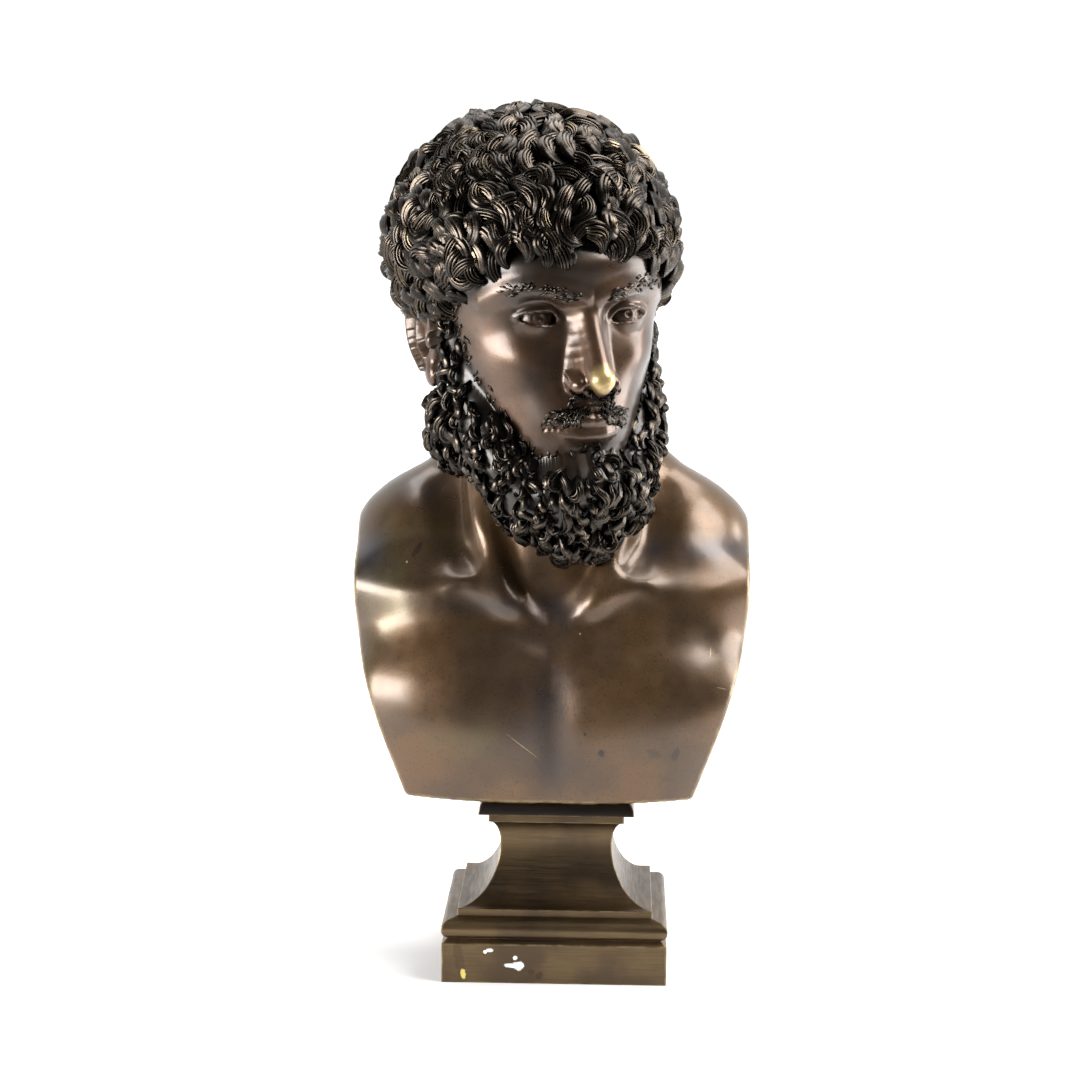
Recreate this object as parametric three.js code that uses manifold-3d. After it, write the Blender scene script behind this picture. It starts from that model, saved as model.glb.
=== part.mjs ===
// A bronze bust of a bearded man with thick curls, bare to the cut of the chest, on a square moulded plinth.
// Millimetres, +Z up. The front faces -Y and the origin is the middle of the plinth's underside.
import * as THREE from "three";
import { mergeVertices } from "three/addons/utils/BufferGeometryUtils.js";
import Module from "manifold-3d";

// Plinth, from the floor up: heights of the mouldings and half widths of its square plan
const BLOCK = { half: 44, top: 15.5 };
const GROOVE = { height: 17.3, half: 41.8 };
const ROLL = { height: 20.9, half: 44.3, radius: 3.8 };
const FOOT = { bottom: 25.4, top: 28.1, half: 38.2 };
const WAIST = { height: 51.2, half: 22 };
const NECKING = { bottom: 60.4, top: 64, half: 26.8 };
const CAP = { top: 70.7, half: 30.7, shoulder: 28.6 };
const CURVE_STEPS = 9;

// Bust: a tapering outline cuts the chest, and its flat underside rests on the cap
const SEAT_GAP = 0.3;
const CHEST_BOTTOM = CAP.top + SEAT_GAP;
const CHEST_AXIS = -3;
const CHEST_MIDDLE = 140;
const CUT = { half: 78.3, taper: 0.175, start: 133, ease: 12, top: 260, corner: 3.5, depth: 140 };

// Head, modelled life size from between the ears at eye level, then scaled, turned and set on the neck
const HEAD_SCALE = 0.57;
const HEAD_CENTRE = [-10, -2, 263];
const HEAD_TURN = { yaw: 24, pitch: 3, roll: -1.5 };
const HEAD_REACH = 130;
const TORSO_REACH = 125;

// Masses of the chest, shoulders and neck, from its axis: ellipsoids, or strings of points with a radius
// at each. A pair stands on both sides, blend is how far it melts into what is there, carve takes away.
const TORSO = [
  { name: "rib cage", centre: [0, 2, 96], radii: [84, 46, 78] },
  { name: "shoulder", pair: true, blend: 18, centre: [60, 5, 150], radii: [34, 33, 40] },
  { name: "breast", pair: true, blend: 16, centre: [36, -20, 112], radii: [42, 26, 30] },
  { name: "upper breast", pair: true, blend: 16, centre: [34, 20, 165], radii: [34, 20, 26] },
  { name: "slope of the shoulder", pair: true, blend: 10, radii: [26, 22, 15, 14],
    points: [[0, 14, 222], [18, 18, 205], [46, 14, 182], [70, 8, 172]] },
  { name: "neck", blend: 8, radii: [35, 33], points: [[0, 3, 135], [0, 0, 240]] },
  { name: "collar bone", pair: true, blend: 8, radii: [4, 4, 4.5, 5.5],
    points: [[8, -32.5, 141], [33, -31, 149], [60, -24, 155], [86, -12, 157]] },
  { name: "neck tendon", pair: true, blend: 8, radii: [4.5, 7.5, 10],
    points: [[7, -31, 145], [22, -31, 178], [36, -6, 222]] },
  { name: "notch of the throat", carve: true, blend: 7, centre: [0, -36, 145], radii: [7, 7, 8] },
  { name: "hollow over the collar bone", pair: true, carve: true, blend: 10, centre: [30, -26, 168],
    radii: [9, 9, 11] },
  { name: "furrow of the breast bone", carve: true, blend: 14, radii: [4, 5],
    points: [[0, -55, 126], [0, -50, 60]] },
  { name: "shoulder blade", pair: true, blend: 16, centre: [38, 36, 128], radii: [26, 12, 36] },
  { name: "furrow of the spine", carve: true, blend: 14, radii: [4, 6, 4],
    points: [[0, 53, 190], [0, 57, 130], [0, 52, 66]] },
];

// The head's own surfaces, in life-size millimetres from the head's centre
const SKULL = { centre: [0, 5, 33], radii: [76.5, 99, 82] };
const FACE_PLAN = { first: -120, pitch: 20, middle: -8, back: 60, squareness: 2.3,
  front: [-88, -91, -92.3, -92.3, -89.5, -86, -86.5, -95.5, -100, -97],
  half: [36, 45, 56, 63, 68, 72, 74, 75, 76, 76] };
const FACE_HEIGHT = { middle: -36, half: 82 };
// Swellings and hollows of the face: place across and up, spread, and how far forward it stands
const RELIEF = [
  { name: "eye socket", at: [30, 2], spread: [15, 11.5], height: -7 },
  { name: "inner corner", at: [16.5, 4], spread: [7, 9], height: -5 },
  { name: "cheek bone", at: [46, -27], spread: [17, 13], height: 4 },
  { name: "hollow of the cheek", at: [52, -62], spread: [17, 22], height: -3 },
  { name: "mouth", at: [0, -70], spread: [25, 19], height: 6 },
  { name: "under the lip", at: [0, -88], spread: [18, 6.5], height: -3.2 },
  { name: "chin", at: [0, -104], spread: [18, 12], height: 5.5 },
];
const FEATURES = [
  { name: "brow", pair: true, blend: 9, radii: [3, 4, 4, 3.5, 3],
    points: [[5, -94, 15], [20, -93, 18.5], [38, -86, 22], [52, -73, 19], [62, -56, 11]] },
  { name: "sides of the nose", blend: 7, radii: [8, 12, 15], points: [[0, -80, 8], [0, -86, -14], [0, -92, -36]] },
  { name: "bridge of the nose", blend: 6, radii: [7.5, 7.2, 7.6, 9.2],
    points: [[0, -84, 12], [0, -94, -6], [0, -104.5, -24], [0, -111.5, -37.5]] },
  { name: "wing of the nose", pair: true, blend: 3.5, centre: [12.8, -98.5, -42], radii: [6, 9.5, 7] },
  { name: "upper lip", pair: true, blend: 3, radii: [4.6, 4.2, 3, 1.3],
    points: [[0, -97.4, -66.6], [11, -95.4, -67], [19, -89.8, -69.8], [25, -83.6, -71.6]] },
  { name: "lower lip", pair: true, blend: 3, radii: [5.2, 5, 3.8, 1.6],
    points: [[0, -96, -76.4], [8, -95, -76.2], [16, -90.6, -74.8], [24, -84, -72.6]] },
  { name: "line of the mouth", pair: true, carve: true, blend: 2, radii: [1.6, 1.5, 0.8],
    points: [[0, -103.5, -71.6], [13, -99, -71.4], [25, -87, -72.2]] },
];
const EYE = { centre: [31.5, -70.5, 0], radius: 12, lid: 1.8, half: 15, above: 5.4, below: 4.2, blend: 4.5 };
const EAR = { centre: [77, 14, -20], radii: [9, 20, 34], hollow: [85, 9, -18], hollowRadii: [7, 10, 18], blend: 3 };
const HAIR = [
  { name: "mop of curls", centre: [0, 12, 42], radii: [101, 117, 93] },
  { name: "opening for the face", carve: true, blend: 6, centre: [0, -126, -24], radii: [67, 93, 68] },
];
const HAIR_EDGE = { height: -7, slope: -0.3, from: 10, blend: 10 };
const BEARD = [
  { name: "side of the beard", pair: true, centre: [57, -14, -78], radii: [27, 30, 34] },
  { name: "line of the jaw", pair: true, blend: 12, radii: [9, 15, 23, 29],
    points: [[61, -24, -5], [58, -30, -45], [48, -47, -90], [26, -64, -122]] },
  { name: "point of the beard", pair: true, blend: 12, radii: [27, 16], points: [[12, -74, -128], [10, -76, -156]] },
  { name: "bare cheeks and mouth", carve: true, blend: 6, centre: [0, -108, -46], radii: [47, 38, 72] },
  { name: "parting", carve: true, blend: 8, radii: [4, 7], points: [[0, -112, -150], [0, -100, -185]] },
];

// Locks stand over the hair and beard, spread evenly round the head, each leaning like a comma.
// Their length and width are angles seen from the head's centre.
const LOCK = { count: 170, length: 0.19, width: 0.125, height: 9, lean: 0.8, lowest: -78, fullAt: -62 };

// Directions, in degrees, along which the skin is found: close together over the face
const HEAD_COLUMNS = [[-36, 36, 32], [36, 324, 38]];
const HEAD_ROWS = [[-90, -50, 8], [-50, 14, 29], [14, 34, 5], [34, 90, 11]];
const TORSO_COLUMNS = [[-75, 75, 34], [75, 285, 18]];
const TORSO_ROWS = [[-90, -62, 2], [-62, 0, 10], [0, 66, 15], [66, 90, 2]];
const STRIDE = 0.6;
const SKIN_TOLERANCE = 0.01;
const MOST_STRIDES = 400;

const radians = THREE.MathUtils.degToRad;
const clamp = THREE.MathUtils.clamp;
const minus = (a, b) => [a[0] - b[0], a[1] - b[1], a[2] - b[2]];
const plus = (a, b, times = 1) => [a[0] + b[0] * times, a[1] + b[1] * times, a[2] + b[2] * times];
const dot = (a, b) => a[0] * b[0] + a[1] * b[1] + a[2] * b[2];
const mirrored = (p) => [Math.abs(p[0]), p[1], p[2]];

// Distance fields: a point's distance outside a shape, negative inside it
function smoothLess(a, b, blend) {
  if (!blend) return Math.min(a, b);
  const share = clamp(0.5 + (0.5 * (b - a)) / blend, 0, 1);
  return b + (a - b) * share - blend * share * (1 - share);
}

const smoothMore = (a, b, blend) => -smoothLess(-a, -b, blend);

function toEllipsoid(p, centre, radii) {
  const scaled = minus(p, centre).map((value, i) => value / radii[i]);
  const steep = Math.hypot(...scaled.map((value, i) => value / radii[i]));
  const reach = Math.hypot(...scaled);
  return steep === 0 ? -Math.min(...radii) : (reach * (reach - 1)) / steep;
}

function toString(p, points, radii) {
  let nearest = Infinity;
  for (let i = 0; i + 1 < points.length; i++) {
    const along = minus(points[i + 1], points[i]);
    const from = minus(p, points[i]);
    const share = clamp(dot(from, along) / dot(along, along), 0, 1);
    const radius = radii[i] + (radii[i + 1] - radii[i]) * share;
    nearest = Math.min(nearest, Math.hypot(...plus(from, along, -share)) - radius);
  }
  return nearest;
}

function toMasses(p, masses, start = Infinity) {
  return masses.reduce((distance, mass) => {
    const q = mass.pair ? mirrored(p) : p;
    const away = mass.points ? toString(q, mass.points, mass.radii) : toEllipsoid(q, mass.centre, mass.radii);
    if (mass.carve) return smoothMore(distance, -away, mass.blend);
    return distance === Infinity ? away : smoothLess(distance, away, mass.blend);
  }, start);
}

// Smooth curve over evenly spaced values, as a uniform cubic spline
function splineAt(values, place) {
  const inside = clamp(place, 0, values.length - 1.001);
  const i = Math.floor(inside);
  const t = inside - i;
  const value = (k) => values[clamp(i + k, 0, values.length - 1)];
  const weights = [(1 - t) ** 3, 3 * t ** 3 - 6 * t ** 2 + 4, -3 * t ** 3 + 3 * t ** 2 + 3 * t + 1, t ** 3];
  return weights.reduce((sum, weight, k) => sum + (weight * value(k - 1)) / 6, 0);
}

// The face without its features: a rounded plan whose depth and width follow two curves up the face
function toFacePlan([x, y, z]) {
  const { first, pitch, middle, back, squareness } = FACE_PLAN;
  const place = (z - first) / pitch;
  const half = splineAt(FACE_PLAN.half, place);
  const ahead = y - middle;
  const depth = ahead < 0 ? middle - splineAt(FACE_PLAN.front, place) : back;
  const across = Math.abs(x / half);
  const along = Math.abs(ahead / depth);
  const reach = (across ** squareness + along ** squareness) ** (1 / squareness);
  const steep = Math.hypot(across / half, along / depth) / Math.max(Math.hypot(across, along), 1e-6);
  return (reach - 1) / Math.max(steep, 1e-6);
}

function reliefAt(x, z) {
  return RELIEF.reduce((sum, { at, spread, height }) => {
    const across = Math.abs((Math.abs(x) - at[0]) / spread[0]) ** 2.3;
    const up = Math.abs((z - at[1]) / spread[1]) ** 2.3;
    return sum + height * Math.exp(-across - up);
  }, 0);
}

function toSkin(p) {
  const forward = THREE.MathUtils.smoothstep(-p[1], -5, 40);
  const pushed = [p[0], p[1] + reliefAt(p[0], p[2]) * forward, p[2]];
  const height = Math.abs(p[2] - FACE_HEIGHT.middle) - FACE_HEIGHT.half;
  let skin = smoothMore(toFacePlan(pushed) * 0.8, height, 16);
  skin = smoothLess(skin, toEllipsoid(pushed, SKULL.centre, SKULL.radii), 14);
  return toMasses(p, FEATURES, skin);
}

function withEyes(p, skin) {
  const [x, y, z] = minus(mirrored(p), EYE.centre);
  const middle = Math.hypot(x, y, z);
  const across = clamp(x / EYE.half, -1, 1);
  const arch = Math.max(1 - Math.abs(across) ** 2.2, 0) ** 0.8;
  const opening = Math.max(z - EYE.above * arch - across, -EYE.below * arch + across - z);
  const lidded = smoothLess(skin, middle - EYE.radius - EYE.lid, EYE.blend);
  return Math.min(smoothMore(lidded, -Math.max(opening, middle - EYE.radius - EYE.blend), 0.6), middle - EYE.radius);
}

function withEars(p, skin) {
  const side = mirrored(p);
  const shell = toEllipsoid(side, EAR.centre, EAR.radii);
  const ear = smoothMore(shell, -toEllipsoid(side, EAR.hollow, EAR.hollowRadii), EAR.blend);
  return smoothLess(skin, ear, EAR.blend);
}

function toHair(p) {
  const edge = HAIR_EDGE.height + HAIR_EDGE.slope * (p[1] - HAIR_EDGE.from) - p[2];
  return smoothMore(toMasses(p, HAIR), edge, HAIR_EDGE.blend);
}

const toBareHead = (p) => withEars(p, withEyes(p, toSkin(p)));
const toCurls = (p) => Math.min(toHair(p), toMasses(p, BEARD));
const toHead = (p) => smoothLess(toBareHead(p), toCurls(p), 2);
const toTorso = (p) => toMasses(p, TORSO);

// Walks from outside towards the centre until it meets the skin, and returns how far out that is
function reachOf(field, centre, direction, start) {
  let reach = start;
  for (let i = 0; i < MOST_STRIDES; i++) {
    const distance = field(plus(centre, direction, reach));
    if (distance < SKIN_TOLERANCE) break;
    reach -= Math.max(distance * STRIDE, SKIN_TOLERANCE);
  }
  return reach;
}

// Angle 0 faces the front, and the elevation is measured from the horizon
const directionOf = (azimuth, elevation) => [
  Math.sin(azimuth) * Math.cos(elevation),
  -Math.cos(azimuth) * Math.cos(elevation),
  Math.sin(elevation),
];

// Evenly spaced values over each stretch [from, to, steps], ending before the last stretch's end
function spacedOver(stretches) {
  return stretches.flatMap(([from, to, steps]) =>
    Array.from({ length: steps }, (_, i) => radians(from + ((to - from) * i) / steps)),
  );
}

// Closed skin over a grid of directions, with one point at the bottom and one at the top
function closedSkin(columns, rows, placeOf) {
  const count = columns.length;
  const rings = rows.slice(1);
  const places = [placeOf(0, -Math.PI / 2), ...rings.flatMap((row) => columns.map((column) => placeOf(column, row)))];
  places.push(placeOf(0, Math.PI / 2));
  const at = (ring, column) => 1 + ring * count + (column % count);
  const faces = [];
  for (let column = 0; column < count; column++) {
    faces.push(0, at(0, column + 1), at(0, column));
    faces.push(places.length - 1, at(rings.length - 1, column), at(rings.length - 1, column + 1));
    for (let ring = 0; ring + 1 < rings.length; ring++) {
      const corners = [at(ring, column), at(ring, column + 1), at(ring + 1, column + 1), at(ring + 1, column)];
      faces.push(corners[0], corners[1], corners[2], corners[0], corners[2], corners[3]);
    }
  }
  const geometry = new THREE.BufferGeometry();
  geometry.setAttribute("position", new THREE.Float32BufferAttribute(places.flat(), 3));
  geometry.setIndex(faces);
  return geometry;
}

// Directions of the locks: an even spiral over the sphere, each with a frame leaning to one side or the other
function lockFrames({ count, lean }) {
  const golden = Math.PI * (3 - Math.sqrt(5));
  return Array.from({ length: count }, (_, i) => {
    const elevation = Math.asin(1 - (2 * (i + 0.5)) / count);
    const azimuth = i * golden;
    const turn = i % 2 ? lean : -lean;
    const down = directionOf(azimuth, elevation - Math.PI / 2);
    const side = [Math.cos(azimuth), Math.sin(azimuth), 0];
    return {
      middle: directionOf(azimuth, elevation),
      along: plus(down.map((value) => value * Math.cos(turn)), side, Math.sin(turn)),
      across: plus(side.map((value) => value * Math.cos(turn)), down, -Math.sin(turn)),
    };
  });
}

function lockHeight(frames, direction) {
  return frames.reduce((highest, { middle, along, across }) => {
    if (dot(middle, direction) < 0.9) return highest;
    const bend = dot(direction, along) / LOCK.length;
    const width = (dot(direction, across) + 0.35 * LOCK.width * bend * bend) / LOCK.width;
    return Math.max(highest, LOCK.height * Math.sqrt(Math.max(1 - bend * bend - width * width, 0)));
  }, 0);
}

function headGeometry() {
  const frames = lockFrames(LOCK);
  const geometry = closedSkin(spacedOver(HEAD_COLUMNS), spacedOver(HEAD_ROWS), (azimuth, elevation) => {
    const direction = directionOf(azimuth, elevation);
    const reach = reachOf(toHead, [0, 0, 0], direction, HEAD_REACH / HEAD_SCALE);
    const place = direction.map((value) => value * reach);
    const shown = THREE.MathUtils.smoothstep(elevation, radians(LOCK.lowest), radians(LOCK.fullAt));
    const curly = shown * THREE.MathUtils.smoothstep(toBareHead(place) - toCurls(place), 0, 5);
    return direction.map((value) => value * (reach + curly * (lockHeight(frames, direction) - LOCK.height / 2)));
  });
  const turn = new THREE.Euler(radians(HEAD_TURN.pitch), radians(HEAD_TURN.roll), radians(HEAD_TURN.yaw), "ZXY");
  geometry.applyMatrix4(new THREE.Matrix4().makeRotationFromEuler(turn));
  return geometry.scale(HEAD_SCALE, HEAD_SCALE, HEAD_SCALE).translate(...HEAD_CENTRE);
}

function torsoGeometry() {
  const middle = [0, 2, CHEST_MIDDLE];
  const geometry = closedSkin(spacedOver(TORSO_COLUMNS), spacedOver(TORSO_ROWS), (azimuth, elevation) => {
    const direction = directionOf(azimuth, elevation);
    return plus(middle, direction, reachOf(toTorso, middle, direction, TORSO_REACH));
  });
  return geometry.translate(CHEST_AXIS, 0, 0);
}

// Half width of the cut at a height: straight below, easing to upright at the shoulder
function cutHalf(height) {
  const below = CUT.start - height;
  return CUT.half - CUT.taper * (below + Math.hypot(below, CUT.ease));
}

function cutGeometry() {
  const { corner, top, depth } = CUT;
  const outline = new THREE.Shape();
  const bottomHalf = cutHalf(CHEST_BOTTOM);
  outline.moveTo(CHEST_AXIS - bottomHalf + corner, CHEST_BOTTOM);
  outline.lineTo(CHEST_AXIS + bottomHalf - corner, CHEST_BOTTOM);
  const heights = Array.from({ length: CURVE_STEPS + 1 }, (_, i) =>
    i === 0 ? CHEST_BOTTOM + corner : CHEST_BOTTOM + ((top - CHEST_BOTTOM) * i) / CURVE_STEPS);
  const [first, ...others] = heights;
  outline.quadraticCurveTo(CHEST_AXIS + bottomHalf, CHEST_BOTTOM, CHEST_AXIS + cutHalf(first), first);
  others.forEach((height) => outline.lineTo(CHEST_AXIS + cutHalf(height), height));
  others.reverse().forEach((height) => outline.lineTo(CHEST_AXIS - cutHalf(height), height));
  outline.lineTo(CHEST_AXIS - cutHalf(first), first);
  outline.quadraticCurveTo(CHEST_AXIS - bottomHalf, CHEST_BOTTOM, CHEST_AXIS - bottomHalf + corner, CHEST_BOTTOM);
  const slab = new THREE.ExtrudeGeometry(outline, { depth, bevelEnabled: false, curveSegments: 4 });
  return slab.rotateX(Math.PI / 2).translate(0, depth / 2, 0);
}

// Quarter or fuller arc about a centre, as points from one angle to another in degrees
function arc(x, y, radiusX, radiusY, from, to) {
  return Array.from({ length: CURVE_STEPS + 1 }, (_, i) => {
    const angle = radians(from + ((to - from) * i) / CURVE_STEPS);
    return new THREE.Vector2(x + radiusX * Math.cos(angle), y + radiusY * Math.sin(angle));
  });
}

// The plinth is turned about its axis in four steps, which makes the moulded profile square in plan
function plinthGeometry() {
  const point = (half, height) => new THREE.Vector2(half, height);
  const profile = [
    point(0, 0),
    point(BLOCK.half, 0),
    point(BLOCK.half, BLOCK.top),
    point(GROOVE.half, GROOVE.height),
    ...arc(ROLL.half - ROLL.radius, ROLL.height, ROLL.radius, ROLL.radius, -50, 80),
    point(FOOT.half, FOOT.bottom),
    point(FOOT.half, FOOT.top),
    ...arc(FOOT.half, WAIST.height, FOOT.half - WAIST.half, WAIST.height - FOOT.top, 262, 180),
    ...arc(NECKING.half, WAIST.height, NECKING.half - WAIST.half, NECKING.bottom - WAIST.height, 172, 96),
    point(NECKING.half, NECKING.bottom),
    point(NECKING.half, NECKING.top),
    ...arc(CAP.shoulder - 3, NECKING.top, CAP.half - CAP.shoulder + 3, CAP.top - NECKING.top, 0, 62),
    point(CAP.shoulder - 2, CAP.top),
    point(0, CAP.top),
  ];
  const corners = profile.map(({ x, y }) => new THREE.Vector2(x * Math.SQRT2, y));
  const geometry = new THREE.LatheGeometry(corners, 4).rotateX(Math.PI / 2).rotateZ(Math.PI / 4);
  return geometry;
}

const wasm = await Module();
wasm.setup();

function solidOf(geometry) {
  geometry.deleteAttribute("normal");
  geometry.deleteAttribute("uv");
  const merged = mergeVertices(geometry, 1e-4);
  return new wasm.Manifold(new wasm.Mesh({
    numProp: 3,
    vertProperties: merged.attributes.position.array,
    triVerts: new Uint32Array(merged.index.array),
  }));
}

function geometryOf(solid) {
  const { vertProperties, triVerts } = solid.getMesh();
  const geometry = new THREE.BufferGeometry();
  geometry.setAttribute("position", new THREE.BufferAttribute(vertProperties, 3));
  geometry.setIndex(new THREE.BufferAttribute(triVerts, 1));
  geometry.computeVertexNormals();
  return geometry;
}

const group = new THREE.Group();

function addPiece(name, geometry, colour, roughness) {
  const piece = new THREE.Mesh(geometry, new THREE.MeshStandardMaterial({ color: colour, metalness: 1, roughness }));
  piece.name = name;
  group.add(piece);
}

const torso = solidOf(torsoGeometry()).intersect(solidOf(cutGeometry()));
addPiece("bust", geometryOf(torso.add(solidOf(headGeometry()))), 0x5a4029, 0.35);
addPiece("plinth", plinthGeometry(), 0x54432c, 0.45);

export default group;
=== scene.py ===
"""Visual model of a bronze bust on a square moulded plinth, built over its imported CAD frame.

The sculpture is worked out in millimetres as distance fields, which are meshed and handed to Blender in
metres. The front faces -Y, +Z is up and the origin is the middle of the plinth's underside. The head has a
frame of its own, life size, from between the ears at the height of the eyes.
"""

from __future__ import annotations

import logging
import math
from dataclasses import dataclass, field
from enum import Enum
from typing import Callable, Sequence

import bpy
import numpy as np
from mathutils import Matrix, Vector

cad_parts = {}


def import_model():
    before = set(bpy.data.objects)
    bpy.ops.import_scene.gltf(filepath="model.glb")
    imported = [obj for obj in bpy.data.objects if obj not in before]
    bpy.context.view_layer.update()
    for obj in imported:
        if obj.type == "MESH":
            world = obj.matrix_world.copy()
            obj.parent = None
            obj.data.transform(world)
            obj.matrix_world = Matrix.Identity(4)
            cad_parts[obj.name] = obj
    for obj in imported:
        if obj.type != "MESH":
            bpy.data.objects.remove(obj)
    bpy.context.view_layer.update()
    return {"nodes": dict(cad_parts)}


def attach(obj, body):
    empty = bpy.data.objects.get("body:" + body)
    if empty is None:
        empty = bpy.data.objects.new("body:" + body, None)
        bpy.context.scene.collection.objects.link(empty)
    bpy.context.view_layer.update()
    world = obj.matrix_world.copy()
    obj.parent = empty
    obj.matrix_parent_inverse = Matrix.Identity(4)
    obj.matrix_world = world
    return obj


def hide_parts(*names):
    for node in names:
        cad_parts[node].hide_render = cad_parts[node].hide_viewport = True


LOG = logging.getLogger("bust")
MM = 0.001
ROOT_BODY = "root"
BUST_NODE = "bust"
PLINTH_NODE = "plinth"

Place = tuple[float, float, float]
Colour = tuple[float, float, float]
Field = Callable[[np.ndarray], np.ndarray]


class Mark(Enum):
    """Numbers from 0 to 1 that ride on the vertices and steer the finish."""

    # Rubbed wear and painted highlight along the ribs of the locks, painted shade in their grooves and ends
    CREST_WEAR_AND_LIGHT = "crest_wear_and_light"
    # Painted shade on the skin under hair and beard, between the locks
    SHADE_UNDER_LOCKS = "shade_under_locks"
    RUBBED = "rubbed"
    # Dark patina clouding and painted shade in the hollows of the chest
    CLOUD_AND_SHADE = "cloud_and_shade"
    EDGE = "edge"
    GROOVE = "groove"


class Curl(Enum):
    """Which way a lock curls, seen from outside with its root above."""

    LEFT = -1
    RIGHT = 1


def length_of(vectors: np.ndarray) -> np.ndarray:
    """Length of each vector along the last axis."""
    return np.sqrt((vectors * vectors).sum(-1))


def unit(vectors: np.ndarray) -> np.ndarray:
    """Each vector along the last axis, scaled to length 1."""
    return vectors / np.maximum(length_of(vectors), 1e-9)[..., None]


def smoothstep(low: float, high: float, value: np.ndarray) -> np.ndarray:
    """0 below low, 1 above high and an even S between them."""
    share = np.clip((value - low) / (high - low), 0, 1)
    return share * share * (3 - 2 * share)


def smooth_less(a: np.ndarray, b: np.ndarray, blend: float) -> np.ndarray:
    """The smaller of two distances, rounded over where they are close.

    Args:
        a: The first distance.
        b: The second distance.
        blend: How close they are where the rounding starts.

    Returns:
        The blended distance.
    """
    if blend <= 0:
        return np.minimum(a, b)
    share = np.clip(0.5 + 0.5 * (b - a) / blend, 0, 1)
    return b + (a - b) * share - blend * share * (1 - share)


def smooth_more(a: np.ndarray, b: np.ndarray, blend: float) -> np.ndarray:
    """The larger of two distances, rounded over where they are within blend of each other."""
    return -smooth_less(-a, -b, blend)


def mirrored(points: np.ndarray) -> np.ndarray:
    """Points folded onto the +X side, for a shape that stands on both sides."""
    folded = points.copy()
    folded[..., 0] = np.abs(folded[..., 0])
    return folded


def gradient(shape: Field, points: np.ndarray, step: float = 0.05) -> np.ndarray:
    """Outward normal of a field at each point.

    Args:
        shape: The distance field.
        points: Places to measure at, shape (n, 3).
        step: How far to either side the field is read.

    Returns:
        Unit vectors, shape (n, 3).
    """
    sides = [shape(points + axis) - shape(points - axis) for axis in np.eye(3) * step]
    return unit(np.stack(sides, -1))


def spline_at(values: Sequence[float], place: np.ndarray) -> np.ndarray:
    """Uniform cubic spline over evenly spaced values.

    Args:
        values: The control values.
        place: Where to read it, in steps from the first value.

    Returns:
        The spline's value at each place.
    """
    table = np.asarray(values, float)
    inside = np.clip(place, 0, len(table) - 1.001)
    whole = np.floor(inside).astype(int)
    t = inside - whole
    weights = ((1 - t) ** 3, 3 * t**3 - 6 * t**2 + 4, -3 * t**3 + 3 * t**2 + 3 * t + 1, t**3)
    reads = (table[np.clip(whole + k - 1, 0, len(table) - 1)] for k in range(4))
    return sum(weight * read for weight, read in zip(weights, reads)) / 6


@dataclass(frozen=True)
class Ellipsoid:
    """A ball stretched along the axes."""

    centre: Place
    radii: Place

    def distance(self, points: np.ndarray) -> np.ndarray:
        """About how far each point is outside the surface."""
        radii = np.array(self.radii)
        scaled = (points - np.array(self.centre)) / radii
        reach = length_of(scaled)
        return reach * (reach - 1) / np.maximum(length_of(scaled / radii), 1e-6)


@dataclass(frozen=True)
class Strand:
    """Points joined by tapering rods, rounded off by a spline where there are more than two."""

    points: Sequence[Place]
    radii: Sequence[float]
    rounds: int = 3

    def knots(self) -> np.ndarray:
        """Points and radii after rounding off, as rows of x, y, z, radius."""
        rows = np.column_stack([np.array(self.points, float), np.array(self.radii, float)])
        if len(rows) < 3:
            return rows
        padded = np.vstack([2 * rows[0] - rows[1], rows, 2 * rows[-1] - rows[-2]])
        made = []
        for i in range(len(rows) - 1):
            a, b, c, d = padded[i : i + 4]
            for t in np.arange(self.rounds) / self.rounds:
                bend = (2 * a - 5 * b + 4 * c - d) * t * t + (3 * b - a - 3 * c + d) * t**3
                made.append(b + 0.5 * ((c - a) * t + bend))
        return np.array([*made, rows[-1]])

    def distance(self, points: np.ndarray) -> np.ndarray:
        """How far each point is outside the rods."""
        nearest = np.full(points.shape[:-1], np.inf)
        rows = self.knots()
        for start, end in zip(rows[:-1], rows[1:]):
            along = end[:3] - start[:3]
            offset = points - start[:3]
            share = np.clip(offset @ along / (along @ along), 0, 1)
            radius = start[3] + (end[3] - start[3]) * share
            nearest = np.minimum(nearest, length_of(offset - share[..., None] * along) - radius)
        return nearest


@dataclass(frozen=True)
class Mass:
    """One swelling or hollow of a sculpture.

    Attributes:
        name: What it is.
        shape: Its ellipsoid or strand.
        blend: How far it melts into what is there already.
        pair: Whether it stands on both sides of the middle.
        carve: Whether it is taken away instead of added.
    """

    name: str
    shape: Ellipsoid | Strand
    blend: float = 0.0
    pair: bool = False
    carve: bool = False


def sculpt(masses: Sequence[Mass], points: np.ndarray, start: np.ndarray | None = None) -> np.ndarray:
    """Distance to a body built up mass by mass.

    Args:
        masses: The swellings and hollows, in the order that they are worked.
        points: Places to measure at.
        start: Distance to what is there already, if anything is.

    Returns:
        The distance at each point, negative inside.
    """
    distance = start
    for mass in masses:
        away = mass.shape.distance(mirrored(points) if mass.pair else points)
        if distance is None:
            distance = away
        elif mass.carve:
            distance = smooth_more(distance, -away, mass.blend)
        else:
            distance = smooth_less(distance, away, mass.blend)
    return distance


@dataclass
class MeshData:
    """Vertices in millimetres, faces as lists of indices, and the marks on the vertices."""

    vertices: np.ndarray
    faces: list[Sequence[int]]
    marks: dict[Mark, np.ndarray] = field(default_factory=dict)

    def triangles(self) -> int:
        """How many triangles the faces come to."""
        return sum(len(face) - 2 for face in self.faces)


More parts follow.
